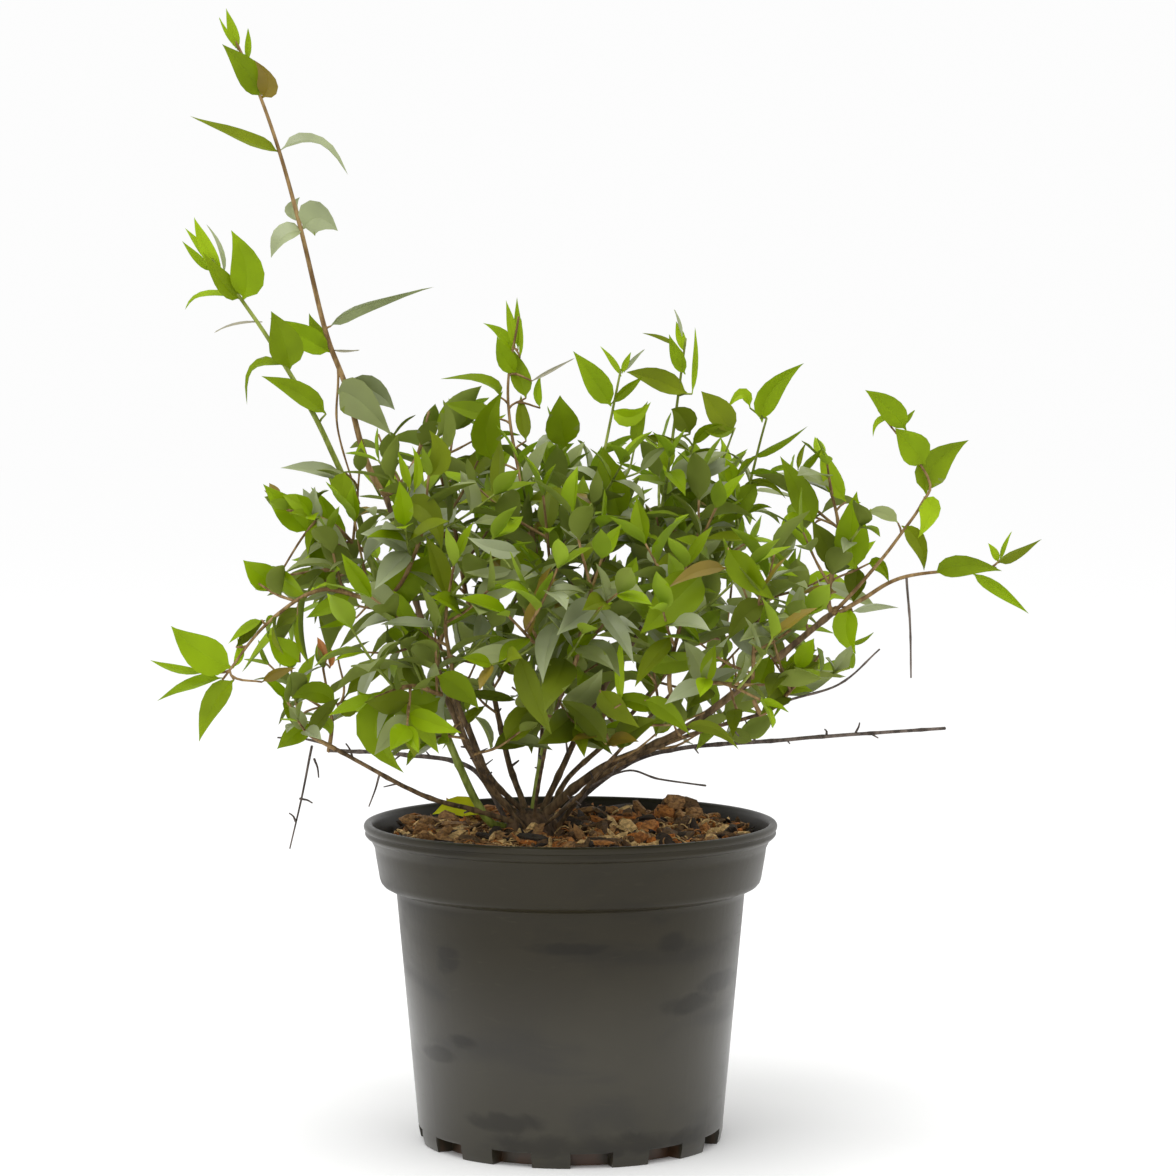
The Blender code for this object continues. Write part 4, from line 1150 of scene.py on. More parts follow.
def turning(spin: float, lean: float, roll: float) -> np.ndarray:
    """Return the matrix that leans about X and Y and then spins about Z.

    Args:
        spin: the angle about Z.
        lean: the angle about X.
        roll: the angle about Y.

    Returns:
        The matrix.
    """
    c, s = math.cos(spin), math.sin(spin)
    about_z = np.array([[c, -s, 0.0], [s, c, 0.0], [0.0, 0.0, 1.0]])
    c, s = math.cos(lean), math.sin(lean)
    about_x = np.array([[1.0, 0.0, 0.0], [0.0, c, -s], [0.0, s, c]])
    c, s = math.cos(roll), math.sin(roll)
    about_y = np.array([[c, 0.0, s], [0.0, 1.0, 0.0], [-s, 0.0, c]])
    return about_z @ about_x @ about_y


@dataclass
class Compost:
    """Coarse bark compost: a lumpy bed, hundreds of chips, some fibres and one fallen leaf.

    The sizes of a chip are ranges of its length, width and thickness, and its shares are
    those of the bark chip colours. Each chip of the chunk is (x, y, lift, length, turn, colour).
    """
    radius: float = 87.6
    level: float = 139.6
    depth: float = 20.0
    chips: int = 1500
    small_chip: tuple = ((5.0, 12.0), (1.5, 4.2), (0.8, 2.2))
    large_chip: tuple = ((10.0, 20.0), (4.0, 9.0), (1.8, 4.8))
    chip_shares: tuple = (0.16, 0.24, 0.26, 0.12, 0.16, 0.06)
    stool_room: float = 9.5
    chunk: tuple = (
        (50.0, 36.0, 7.0, 15.0, 0.3, BarkChip.BROWN), (54.0, 38.0, 6.0, 13.0, -0.5, BarkChip.DARK),
        (46.0, 39.0, 6.0, 12.0, 0.9, BarkChip.DARK), (44.0, 33.0, 3.0, 12.0, -0.8, BarkChip.RUST),
        (58.0, 34.0, 3.0, 11.0, 0.4, BarkChip.BROWN), (51.0, 31.0, 2.0, 12.0, 1.4, BarkChip.BROWN))
    fibres: int = 420
    fibre_length: Span = (5.0, 15.0)
    seed: int = 11

    def height(self, x: np.ndarray | float, y: np.ndarray | float) -> np.ndarray | float:
        """Return the bed's height: a few crossed waves, lower at the rim.

        Args:
            x: where it is asked for, across.
            y: and in depth.

        Returns:
            The height there.
        """
        waves = (np.sin(x * 0.13 + 1.1) * np.cos(y * 0.11 + 0.4) * 1.2
                 + np.sin(x * 0.31 + y * 0.23) * 0.7 + np.cos(x * 0.52 - y * 0.47 + 2.0) * 0.5)
        rim = np.clip((np.hypot(x, y) - 70.0) / 18.0, 0.0, 1.0)
        return self.level + waves - rim * 1.6

    def spot(self, rng: np.random.Generator, reach: float) -> tuple[float, float]:
        """Return the x and y of a place on the bed, drawn evenly within reach of its middle."""
        far, turn = math.sqrt(rng.uniform(0.0, 1.0)) * reach, rng.uniform(0.0, TURN)
        return far * math.cos(turn), far * math.sin(turn)

    def bed(self) -> None:
        """Make the bed as rings of points at the height of the waves, with a rough edge."""
        rings, sides = 34, 120
        rng = np.random.default_rng(self.seed)
        radius = np.linspace(self.radius, 1.0, rings)[:, None]
        angle = angles_round(sides)[None, :]
        x, y = radius * np.cos(angle), radius * np.sin(angle)
        z = self.height(x, y) + rng.uniform(-0.5, 0.5, x.shape)
        top = np.stack([x, y, z], axis=-1)
        skirt = top[:1] * np.array([0.93, 0.93, 1.0])
        skirt[..., 2] = self.level - self.depth
        poles = ((0.0, 0.0, self.level - self.depth), (0.0, 0.0, self.level))
        shape = Shape()
        shape.add(np.concatenate([skirt.reshape(-1, 3), top.reshape(-1, 3), poles]),
                  closed_faces(rings + 1, sides))
        shape.piece("compost_bed", [BarkChip.BLACK.value], "compost", ["compost"], 80.0)

    def chip(self, rng: np.random.Generator, size: np.ndarray) -> np.ndarray:
        """Return one chip's points: three uneven rings and two poles, round a flattened slab.

        Args:
            rng: the source of its draws.
            size: its length, width and thickness.

        Returns:
            Its points.
        """
        angle = angles_round(7) + rng.uniform(-0.25, 0.25, (3, 7))
        along = np.array([-0.34, 0.02, 0.36])[:, None] + rng.uniform(-0.07, 0.07, (3, 7))
        girth = np.array([0.85, 1.0, 0.78])[:, None] * rng.uniform(0.72, 1.15, (3, 7)) * 0.5
        square = 1.0 / np.maximum(np.abs(np.cos(angle)), np.abs(np.sin(angle))) ** 0.55
        rings = np.stack([along, np.cos(angle) * girth * square, np.sin(angle) * girth * square], axis=-1)
        poles = np.array([[-0.5, 0.05, 0.0], [0.5, -0.04, 0.02]]) + rng.uniform(-0.05, 0.05, (2, 3))
        return np.concatenate([rings.reshape(-1, 3), poles]) * size

    def heap(self) -> None:
        """Scatter the chips by seeded draws, mostly lying, and stand the chunk of bark at the right."""
        rng = np.random.default_rng(self.seed + 1)
        shape, faces, tints = Shape(), closed_faces(3, 7), list(BarkChip)
        for number in range(self.chips):
            size = np.array([rng.uniform(*span) for span in self.small_chip])
            if number < self.chips // 4:
                size = np.array([rng.uniform(*span) for span in self.large_chip])
            x, y = self.spot(rng, self.radius - size[0] * 0.55)
            if math.hypot(x - STOOL[0], y - STOOL[1]) < self.stool_room + size[0] * 0.45:
                continue
            lean = rng.normal(0.0, 0.42, 2) if rng.random() < 0.74 else rng.uniform(-1.3, 1.3, 2)
            spin = turning(rng.uniform(0.0, TURN), *lean)
            lift = rng.uniform(-0.6, 3.4) + size[2] * 0.25
            tint = int(rng.choice(len(tints), p=self.chip_shares))
            shape.add(self.chip(rng, size) @ spin.T + (x, y, self.height(x, y) + lift), faces, tint)
        for x, y, lift, length, turn, tint in self.chunk:
            size = np.array([length, length * 0.6, 5.0])
            place = (x, y, self.level + lift + length * 0.3)
            shape.add(self.chip(rng, size) @ turning(turn, 1.15, 0.3).T + place, faces, tints.index(tint))
        shape.piece("bark_chips", [tint.value for tint in tints], "compost", (), 28.0)

    def threads(self) -> None:
        """Lay short curled fibres on the chips."""
        rng = np.random.default_rng(self.seed + 2)
        shape, tints = Shape(), (BarkChip.RUST, BarkChip.BROWN, BarkChip.TAN)
        t = np.linspace(0.0, 1.0, 7)
        for _ in range(self.fibres):
            middle_x, middle_y = self.spot(rng, self.radius - 14.0)
            length, heading = rng.uniform(*self.fibre_length), rng.uniform(0.0, TURN)
            way = heading + rng.uniform(-1.2, 1.2) * t
            x = middle_x + np.cos(way) * length * (t - 0.5)
            y = middle_y + np.sin(way) * length * (t - 0.5)
            z = self.height(x, y) + 2.4 + np.sin(t * math.pi) * rng.uniform(0.5, 3.2)
            line, radii = np.stack([x, y, z], axis=1), 0.42 - 0.24 * t
            shape.add(*tube(line, radii, 4), int(rng.integers(0, len(tints))))
        shape.piece("compost_fibres", [tint.value for tint in tints], "compost")

    def fallen_leaf(self) -> None:
        """Lay one yellowing leaf on the chips at the left of the stool."""
        midrib = np.array([[-41.0, 33.0, 145.0], [-52.0, 34.0, 148.6], [-65.0, 34.0, 145.4]])
        leaf = Leaf(*midrib, np.array([0.1, -0.62, 0.78]), 12.0, 0.35, 0.3, 0.16, LIME)
        points, faces, _ = Blade().mesh([leaf])
        shape = Shape()
        shape.add(points, faces)
        finish = LeafFinish("yellow fallen leaf", linear(212, 216, 30), 0.5, 0.2, 0.2)
        shape.piece("fallen_leaf", [finish], "foliage", (), 75.0)


@dataclass
class Leaf:
    """One leaf: three points of its midrib, the way its face looks, its width and its form."""
    root: np.ndarray
    middle: np.ndarray
    tip: np.ndarray
    face: np.ndarray
    width: float
    fold: float
    twist: float
    wave: float
    tint: LeafTint

    def form(self) -> np.ndarray:
        """Return the plain form for the room test: root, two edges, keel and tip.

        Returns:
            The five points.
        """
        way = unit(self.tip - self.root)
        face = unit(self.face - way * self.face.dot(way))
        across = np.cross(way, face) * self.width * 0.45
        lift = face * self.fold * self.width * 0.45
        return np.array([self.root + way * 1.5, self.middle + across + lift, self.middle - across + lift,
                         self.middle - face * 0.4, self.tip])

    def spread(self) -> np.ndarray:
        """Return points along the edges and the midrib of the plain form.

        Returns:
            The points.
        """
        root, left, right, keel, tip = self.form()
        t = np.linspace(0.0, 1.0, 5)[:, None]
        lines = ((root, left), (left, tip), (root, right), (right, tip), (root, keel), (keel, tip))
        return np.concatenate([start + (end - start) * t for start, end in lines])


LEAF_FORM_FACES = [(0, 2, 1), (0, 3, 2), (0, 1, 3), (4, 1, 2), (4, 2, 3), (4, 3, 1)]

# The crown's outline in the photograph without the shoots that stand out of it, and its
# larger openings as (across, down, radius), both read off it in pixels.
CROWN_OUTLINE = np.array((
    (264, 482), (310, 462), (350, 446), (384, 420), (402, 418), (434, 402), (450, 384), (492, 368),
    (498, 344), (522, 344), (544, 392), (562, 388), (574, 356), (596, 396), (640, 366), (664, 384),
    (684, 362), (734, 384), (760, 416), (786, 440), (820, 434), (848, 478), (870, 506), (884, 540),
    (862, 572), (884, 606), (876, 644), (846, 678), (812, 692), (786, 722), (742, 750), (664, 752),
    (616, 764), (524, 764), (496, 752), (446, 752), (404, 772), (378, 762), (346, 732), (306, 748),
    (276, 748), (280, 694), (242, 680), (240, 630), (280, 614), (246, 590), (246, 566), (306, 550),
    (298, 530), (262, 506)), float)
OPENINGS = np.array((
    (366, 486, 8), (350, 532, 9), (465, 518, 6), (462, 444, 14), (538, 428, 9), (590, 424, 10),
    (546, 550, 6), (510, 600, 8), (462, 590, 6), (418, 608, 7), (588, 572, 6), (658, 500, 8),
    (626, 554, 7), (652, 416, 11), (774, 456, 11), (770, 502, 8), (770, 530, 10), (742, 556, 7),
    (730, 594, 9), (822, 500, 10), (836, 524, 9), (818, 564, 9), (616, 432, 8), (448, 646, 9),
    (470, 672, 9), (508, 684, 12), (498, 712, 12), (520, 628, 7), (382, 684, 7), (366, 644, 9),
    (282, 606, 9), (666, 684, 9), (736, 656, 8), (676, 646, 7), (826, 642, 8), (724, 694, 6),
    (602, 640, 5), (634, 618, 5)), float)
MAIN_LIMB = PHOTO.pixels(np.array([point for part in BOUGHS + SPRAYS for point in part.points
                                   if part.name in ("right_bough", "far_right_spray")][:-1], float))


@dataclass(frozen=True)
class Window:
    """The crown as the photograph shows it, which keeps its outline and its openings free.

    Leaves in front of limb_depth also keep off the main limb by limb_half, in pixels.
    """
    limb_half: float = 6.0
    limb_depth: float = -22.0

    def inside(self, seen: np.ndarray) -> bool:
        """Return whether all pixels lie inside the outline, by counting its crossings to the right.

        Args:
            seen: the pixels.

        Returns:
            Whether all are inside.
        """
        across, down = seen[:, :1], seen[:, 1:]
        first, second = CROWN_OUTLINE, np.roll(CROWN_OUTLINE, -1, axis=0)
        spans = (first[:, 1] > down) != (second[:, 1] > down)
        rise = np.where(second[:, 1] == first[:, 1], 1.0, second[:, 1] - first[:, 1])
        crossing = first[:, 0] + (down - first[:, 1]) / rise * (second[:, 0] - first[:, 0])
        return bool(((spans & (across < crossing)).sum(axis=1) % 2 == 1).all())

    def allows(self, points: np.ndarray) -> bool:
        """Return whether points keep inside the outline, off the openings and off the main limb.

        Args:
            points: the points.

        Returns:
            Whether they are free.
        """
        seen = PHOTO.pixels(points)
        if not self.inside(seen):
            return False
        if (np.linalg.norm(seen[:, None, :] - OPENINGS[:, :2], axis=-1) < OPENINGS[:, 2]).any():
            return False
        if points[:, 1].mean() > self.limb_depth:
            return True
        along = np.diff(MAIN_LIMB, axis=0)
        off = seen[:, None, :] - MAIN_LIMB[:-1]
        part = np.clip((off * along).sum(axis=-1) / (along**2).sum(axis=-1), 0.0, 1.0)
        return bool((np.linalg.norm(off - part[..., None] * along, axis=-1) > self.limb_half).all())


WINDOW = Window()


@dataclass
class Blade:
    """The blade that every leaf is made from: a flattened tube along a curved midrib.

    Each ring has five points on the leaf's top, from edge to edge, and a last one under it.
    """
    stations: tuple = (0.0, 0.06, 0.15, 0.27, 0.41, 0.55, 0.69, 0.82, 0.93)
    across: tuple = (-1.0, -0.5, 0.0, 0.5, 1.0, 0.0)
    below: tuple = (0.0, 0.0, 0.0, 0.0, 0.0, 1.0)
    midrib: int = 2
    first_under: int = 4
    stalk: float = 0.05
    stalk_half: float = 0.30
    thickness: float = 0.34
    base_power: float = 0.70
    tip_power: float = 1.24

    def half_width(self, u: np.ndarray) -> np.ndarray:
        """Return the half width at u as a part of the widest: t^base (1-t)^tip, scaled to one.

        Args:
            u: places along the leaf, 0 to 1.

        Returns:
            The half width at each, 0 to 1.
        """
        t = np.clip((u - self.stalk) / (1.0 - self.stalk), 0.0, 1.0)
        peak = self.base_power / (self.base_power + self.tip_power)
        scale = peak**self.base_power * (1.0 - peak) ** self.tip_power
        return t**self.base_power * (1.0 - t) ** self.tip_power / scale

    def mesh(self, leaves: Sequence[Leaf]) -> tuple[np.ndarray, list, np.ndarray]:
        """Work out all the leaves at once.

        The midrib is P(u) = root(1-u)^2 + 2 control u(1-u) + tip u^2, with the control
        point set so that P(1/2) is the leaf's middle. At v across it, a point is
        P(u) + side*v*w(u) + lift*(fold*|v|^0.85 + wave*sin(11u)*|v|)*w(u), where side and lift
        turn about the midrib by twist*u, and the underside lies a little lower.

        Args:
            leaves: the leaves.

        Returns:
            The points of every leaf, the faces of one leaf, and which faces are undersides.
        """
        def column(name: str) -> np.ndarray:
            """Return one field of all the leaves as an array."""
            return np.array([getattr(leaf, name) for leaf in leaves], float)

        u, v = np.array(self.stations)[None, :, None], np.array(self.across)
        root, middle, tip = (column(k)[:, None, :] for k in ("root", "middle", "tip"))
        control = 2.0 * middle - (root + tip) * 0.5
        midrib = root * (1 - u) ** 2 + control * 2 * u * (1 - u) + tip * u**2
        way = unit((control - root) * (1 - u) + (tip - control) * u)
        side = unit(np.cross(way, np.broadcast_to(column("face")[:, None, :], way.shape)))
        lift = np.cross(side, way)
        turn = column("twist")[:, None, None] * u
        side, lift = side * np.cos(turn) + lift * np.sin(turn), lift * np.cos(turn) - side * np.sin(turn)
        half = np.maximum(self.half_width(u[..., 0]) * column("width")[:, None] * 0.5, self.stalk_half)
        fold, wave = column("fold")[:, None, None], column("wave")[:, None, None]
        rise = fold * np.abs(v) ** 0.85 + wave * np.sin(u * 11.0) * np.abs(v)
        under = np.minimum(self.thickness, half * 0.8)[..., None]
        rise = rise * half[..., None] - np.array(self.below) * under
        rings = (midrib[:, :, None, :] + side[:, :, None, :] * (v * half[..., None])[..., None]
                 + lift[:, :, None, :] * rise[..., None])
        ends = np.concatenate([root - way[:, :1] * 0.4, tip], axis=1)
        points = np.concatenate([rings.reshape(len(leaves), -1, 3), ends], axis=1)
        rows, sides = len(self.stations), len(v)
        return points, closed_faces(rows, sides), np.tile(np.arange(sides) >= self.first_under, rows + 1)

    def piece(self, leaves: Sequence[Leaf], name: str, nodes: Sequence[str]) -> None:
        """Join leaves into one piece, each leaf's top in its tint and its underside paler.

        Args:
            leaves: the leaves.
            name: the piece's name.
            nodes: the solids that it stands for.
        """
        points, faces, is_under = self.mesh(leaves)
        shape, tints = Shape(), list(LeafTint)
        for blade, leaf in zip(points, leaves):
            top, under = tints.index(leaf.tint), tints.index(leaf.tint.underside())
            shape.add(blade, faces, np.where(is_under, under, top))
        crease = np.zeros(points.shape[1], bool)
        crease[self.midrib:-2:len(self.across)] = True
        shape.piece(name, [tint.value for tint in tints], "foliage", nodes, 75.0,
                    np.tile(crease, len(leaves)))


class Space:
    """The room taken by what has grown so far, to keep leaves and twigs out of each other."""

    def __init__(self) -> None:
        """Start with nothing taken."""
        self.trees: list[BVHTree] = []
        self.lows: list[np.ndarray] = []
        self.highs: list[np.ndarray] = []
        self.keys: list[tuple] = []

    def add(self, key: tuple, verts: np.ndarray, faces: list) -> None:
        """Record a placed form under a key.

        Args:
            key: what the form belongs to.
            verts: its points.
            faces: its faces.
        """
        self.trees.append(BVHTree.FromPolygons([Vector(v) for v in verts], faces))
        self.lows.append(verts.min(axis=0))
        self.highs.append(verts.max(axis=0))
        self.keys.append(key)

    def is_clear(self, verts: np.ndarray, faces: list, leave_out: tuple) -> bool:
        """Return whether a form crosses nothing recorded, apart from the keys left out.

        Args:
            verts: the form's points.
            faces: its faces.
            leave_out: keys that it may cross.

        Returns:
            Whether it is clear.
        """
        below = np.all(np.array(self.lows) < verts.max(axis=0), axis=1)
        above = np.all(np.array(self.highs) > verts.min(axis=0), axis=1)
        own = BVHTree.FromPolygons([Vector(v) for v in verts], faces)
        return not any(own.overlap(self.trees[i]) for i in np.flatnonzero(below & above)
                       if self.keys[i] not in leave_out)


@dataclass
class Shoot:
    """A grown stem or twig: its path, radii, bark and key, and its nodes as parts of its length."""
    path: np.ndarray
    foot_radius: float
    tip_radius: float
    wood: Wood
    key: tuple
    nodes: list = field(default_factory=list)

    def radii(self) -> np.ndarray:
        """Return the radius along the path, with a swelling at each leaf pair.

        Returns:
            The radius at each point.
        """
        swelling, swelling_reach = 0.28, 1.6
        place = np.linspace(0.0, 1.0, len(self.path))
        radius = self.foot_radius + (self.tip_radius - self.foot_radius) * place
        for node in self.nodes:
            far = (place - node) * path_length(self.path)
            radius = radius * (1.0 + swelling * np.exp(-(far / swelling_reach) ** 2))
        return radius


@dataclass(frozen=True)
class TwigHabit:
    """How a kind of leafy twig is tried: how often, which way it heads and how long it is.

    Its wander is in degrees either way. Its reach is a range of parts of the scale that it is
    grown to, and the shrink is how much shorter each new try is. The parts outward, along and
    up weigh its heading, and the lift bends it up.
    """
    tries: int
    wander: float
    reach: Span
    shrink: float
    outward: float
    along: float
    up: float
    lift: float
    foot_radius: float
    tip_radius: float
    green_share: float = 0.0


SIDE_TWIG = TwigHabit(tries=16, wander=60.0, reach=(0.72, 1.15), shrink=0.03, outward=0.85, along=0.55,
                      up=0.12, lift=0.10, foot_radius=0.72, tip_radius=0.42, green_share=0.50)
LOW_TWIG = TwigHabit(tries=12, wander=70.0, reach=(18.0, 30.0), shrink=0.04, outward=0.90, along=0.35,
                     up=0.05, lift=0.15, foot_radius=0.66, tip_radius=0.40)
TWIG_STEP = 2.6
TWIG_TURN = 137.5
SPRAY_SEED = 100


@dataclass(frozen=True)
class LeafHabit:
    """How leaves stand on a shoot: angles in degrees, sizes as parts of the leaf's own."""
    tries: int = 9
    fewest_pairs: int = 3
    top_pair: float = 0.985
    pairs_reach: float = 0.90
    crowding: float = 0.9
    pair_turn: float = 90.0
    shoot_turn: float = 35.0
    ageing: float = 0.6
    young_shrink: float = 0.34
    rise: float = 56.0
    young_rise: float = 34.0
    length: Span = (0.84, 1.26)
    shrink: float = 0.045
    rise_wander: Span = (-10.0, 12.0)
    turn_wander: Span = (-16.0, 16.0)
    more_wander: float = 0.7
    face_up: float = 0.46
    bend: Span = (6.0, 52.0)
    young_bend: float = 0.6
    sag: Span = (0.0, 0.16)
    middle_sag: float = 0.25
    width: Span = (0.32, 0.46)
    fold: Span = (0.12, 0.58)
    twist: Span = (-26.0, 26.0)
    wave: Span = (0.0, 0.09)


@dataclass(frozen=True)
class TintHabit:
    """How tints are dealt out: lighter outside and above and darker inside and below as painted light and
    shade, lighter at young tips by their own colour, and a painted sheen where the leaf lies flat.
    """
    centre_x: float = -5.0
    out_reach: float = 135.0
    low: float = 175.0
    high_reach: float = 170.0
    out_weight: float = 0.30
    high_weight: float = 0.40
    young_weight: float = 0.28
    chance: Span = (-0.26, 0.26)
    bronze_share: float = 0.022
    flat_from: float = 0.45
    pale_sheen_share: float = 0.14
    pale_sheen_flat: float = 0.24
    pale_sheen_youth: float = 0.5
    sheen_share: float = 0.40
    sheen_flat: float = 0.55
    sheen_youth: float = 0.9
    steps: tuple = (SHADE, OLIVE, GREEN, FRESH, LIME)
    step_scale: float = 5.2
    step_start: float = 0.4


@dataclass(frozen=True)
class LeafPlace:
    """Where a leaf may grow: its shoot, the part of the shoot's length, and its own measures."""
    shoot: Shoot
    part: float
    turn: float
    size: float
    rise: float
    young: float


class Growth:
    """Grows one spray: its stem, its twigs and its leaves."""

    def __init__(self, spray: Spray, index: int, space: Space) -> None:
        """Take a spray, its number for the seed, and the shared room.

        Args:
            spray: the spray to grow.
            index: its number.
            space: the room shared with the others.
        """
        self.spray, self.space = spray, space
        self.rng = random.Random(SPRAY_SEED + index)
        self.habit, self.tints = LeafHabit(), TintHabit()
        self.shoots: list[Shoot] = []
        self.leaves: list[Leaf] = []

    def grow_stem(self, bough_tip: np.ndarray, fork_middle: np.ndarray) -> None:
        """Set the stem off from its bough's tip, away from the middle of its fork.

        Args:
            bough_tip: where the bough ends.
            fork_middle: the mean direction of its stems.
        """
        fork_spread, overlap, tip_part = 1.8, 0.5, 0.45
        straight = unit(np.array(self.spray.points[0], float) - bough_tip)
        way = unit(straight + (straight - fork_middle) * fork_spread)
        path = smooth_path([bough_tip - way * overlap, *self.spray.points], way, TWIG_STEP)
        radius = self.spray.stem_radius
        stem = Shoot(path, radius, radius * tip_part, self.spray.wood, (self.spray.name, 0))
        self.shoots.append(stem)
        self.space.add(stem.key, *plain_tube(path, 0.9))

    def side_way(self, way: np.ndarray, turn: float) -> np.ndarray:
        """Return the sideways direction at a turn round a twig's own direction.

        Args:
            way: the twig's direction.
            turn: the angle round it.

        Returns:
            The direction.
        """
        across = np.cross(UP, way)
        across = unit(across) if np.linalg.norm(across) > 0.05 else RIGHT
        return across * math.cos(turn) + np.cross(way, across) * math.sin(turn)

    def grow_bare_twigs(self) -> None:
        """Grow the twigs that have lost their leaves, each with three nodes."""
        stem, spray = self.shoots[0].path, self.spray
        for number, (part, end, bend) in enumerate(spray.bare_twigs):
            root, _ = point_on(stem, part)
            path = smooth_path([root, (root + np.array(end)) * 0.5 + bend, end], np.array(end) - root, 3.0)
            shoot = Shoot(path, 0.62, 0.38, spray.bare_wood, (spray.name, "bare", number), [0.35, 0.62, 0.84])
            self.shoots.append(shoot)
            self.space.add(shoot.key, *plain_tube(path, 0.6, 3))

    def grow_side_twigs(self) -> None:
        """Grow the leafy side twigs, spread out along the stem."""
        stem, spray = self.shoots[0].path, self.spray
        low, high = 0.10, min(0.82, self.spray.plain_below)
        for number in range(spray.side_twigs):
            part = low + (high - low) * (number + 0.5) / spray.side_twigs
            self.grow_twig(SIDE_TWIG, stem, part, number, spray.side_reach, (spray.name, 1 + number),
                           (spray.name, 0))

    def grow_low_twigs(self, bough: np.ndarray) -> None:
        """Grow short leafy twigs on the upper half of the bough itself, under the mass.

        Args:
            bough: the bough's path.
        """
        for number, part in enumerate((0.56, 0.68, 0.80, 0.92)):
            self.grow_twig(LOW_TWIG, bough, part, number, 1.0, (self.spray.name, "low", number),
                           (self.spray.bough, "bough"))

    def grow_twig(self, habit: TwigHabit, limb: np.ndarray, part: float, number: int, scale: float,
                  key: tuple, limb_key: tuple) -> None:
        """Grow a leafy twig off a limb, bending up a little, at the first try that finds room.

        Args:
            habit: the kind of twig.
            limb: the limb's path.
            part: the part of its length where the twig leaves it.
            number: the twig's number, which turns it round the limb.
            scale: the millimetres to one part of its reach.
            key: its key in the room.
            limb_key: the limb's key, which it may cross.
        """
        root, way = point_on(limb, part)
        for attempt in range(habit.tries):
            wander = self.rng.uniform(-habit.wander, habit.wander)
            turn = math.radians(self.spray.first_turn + TWIG_TURN * number + wander)
            reach = scale * self.rng.uniform(*habit.reach) * (1.0 - habit.shrink * attempt)
            aim = unit(self.side_way(way, turn) * habit.outward + way * habit.along + UP * habit.up)
            end = root + unit(aim + UP * habit.lift) * reach
            path = smooth_path([root, root + aim * reach * 0.5, end], aim, TWIG_STEP)
            form = plain_tube(path, 0.8)
            if not WINDOW.inside(PHOTO.pixels(path[len(path) // 2:])):
                continue
            if self.space.is_clear(*form, (limb_key,)):
                is_green = habit.green_share > 0.0 and self.rng.random() < habit.green_share
                wood = Wood.GREEN if is_green else self.spray.wood
                self.shoots.append(Shoot(path, habit.foot_radius, habit.tip_radius, wood, key))
                self.space.add(key, *form)
                return

    def reach_for(self, root: np.ndarray) -> None:
        """Grow a fine twig to a leaf's root where it stands off the nearest shoot.

        Args:
            root: where the leaf starts.
        """
        longest_gap, setback = 2.4, 0.8
        gaps = [np.linalg.norm(shoot.path - root, axis=1) for shoot in self.shoots]
        nearest = int(np.argmin([gap.min() for gap in gaps]))
        shoot, k, gap = self.shoots[nearest], int(gaps[nearest].argmin()), float(gaps[nearest].min())
        if gap < longest_gap:
            return
        k = max(1, k - int(gap * setback / TWIG_STEP))
        start = shoot.path[k]
        way = unit(unit(start - shoot.path[k - 1]) + unit(root - start))
        path = smooth_path([start, root], way, TWIG_STEP)
        self.shoots.append(Shoot(path, 0.60, 0.42, shoot.wood, (self.spray.name, "reach", len(self.shoots))))

    def show_leaves(self) -> None:
        """Place the leaves that the photograph shows on this spray."""
        toward = np.array([0.0, -1.0, 0.12])
        stem = self.shoots[0].path
        stem_pixels = PHOTO.pixels(stem)
        for *midrib, width, roll, deeper, tint in SHOWN_LEAVES.get(self.spray.name, ()):
            nearest = np.linalg.norm(stem_pixels - midrib[:2], axis=1).argmin()
            root, middle, tip = (PHOTO.place(*midrib[2 * k:2 * k + 2], stem[nearest, 1] + deeper * part)
                                 for k, part in enumerate((0.0, 0.6, 1.0)))
            self.reach_for(root)
            way = unit(tip - root)
            face = unit(toward - way * toward.dot(way))
            turn = math.radians(roll)
            face = face * math.cos(turn) + np.cross(way, face) * math.sin(turn)
            twist = math.radians(self.rng.uniform(-12, 12))
            leaf = Leaf(root, middle, tip, face, width / PHOTO.pixels_per_mm, 0.30, twist, 0.05, tint)
            self.leaves.append(leaf)
            self.space.add((self.spray.name, "leaf", len(self.leaves)), leaf.form(), LEAF_FORM_FACES)

    def leaf_places(self) -> Iterator[LeafPlace]:
        """Yield the places of opposite leaves on each leafy shoot, from its tip down.

        Yields:
            The places.
        """
        spray, habit = self.spray, self.habit
        for number, shoot in enumerate(self.shoots):
            if shoot.key[1] in ("bare", "reach"):
                continue
            covered = path_length(shoot.path) * habit.pairs_reach
            pairs = max(habit.fewest_pairs, round(covered / spray.pair_step))
            for pair in range(pairs):
                part = habit.top_pair - habit.pairs_reach * (pair / pairs) ** habit.crowding
                if number == 0 and part > spray.plain_below:
                    continue
                turn = math.radians(spray.first_turn + habit.pair_turn * pair + habit.shoot_turn * number)
                young = max(0.0, 1.0 - pair * habit.ageing)
                size = spray.leaf_length * (1.0 - habit.young_shrink * young)
                rise = math.radians(habit.rise - habit.young_rise * young)
                shoot.nodes.append(part)
                for side in (0.0, math.pi):
                    yield LeafPlace(shoot, part, turn + side, size, rise, young)

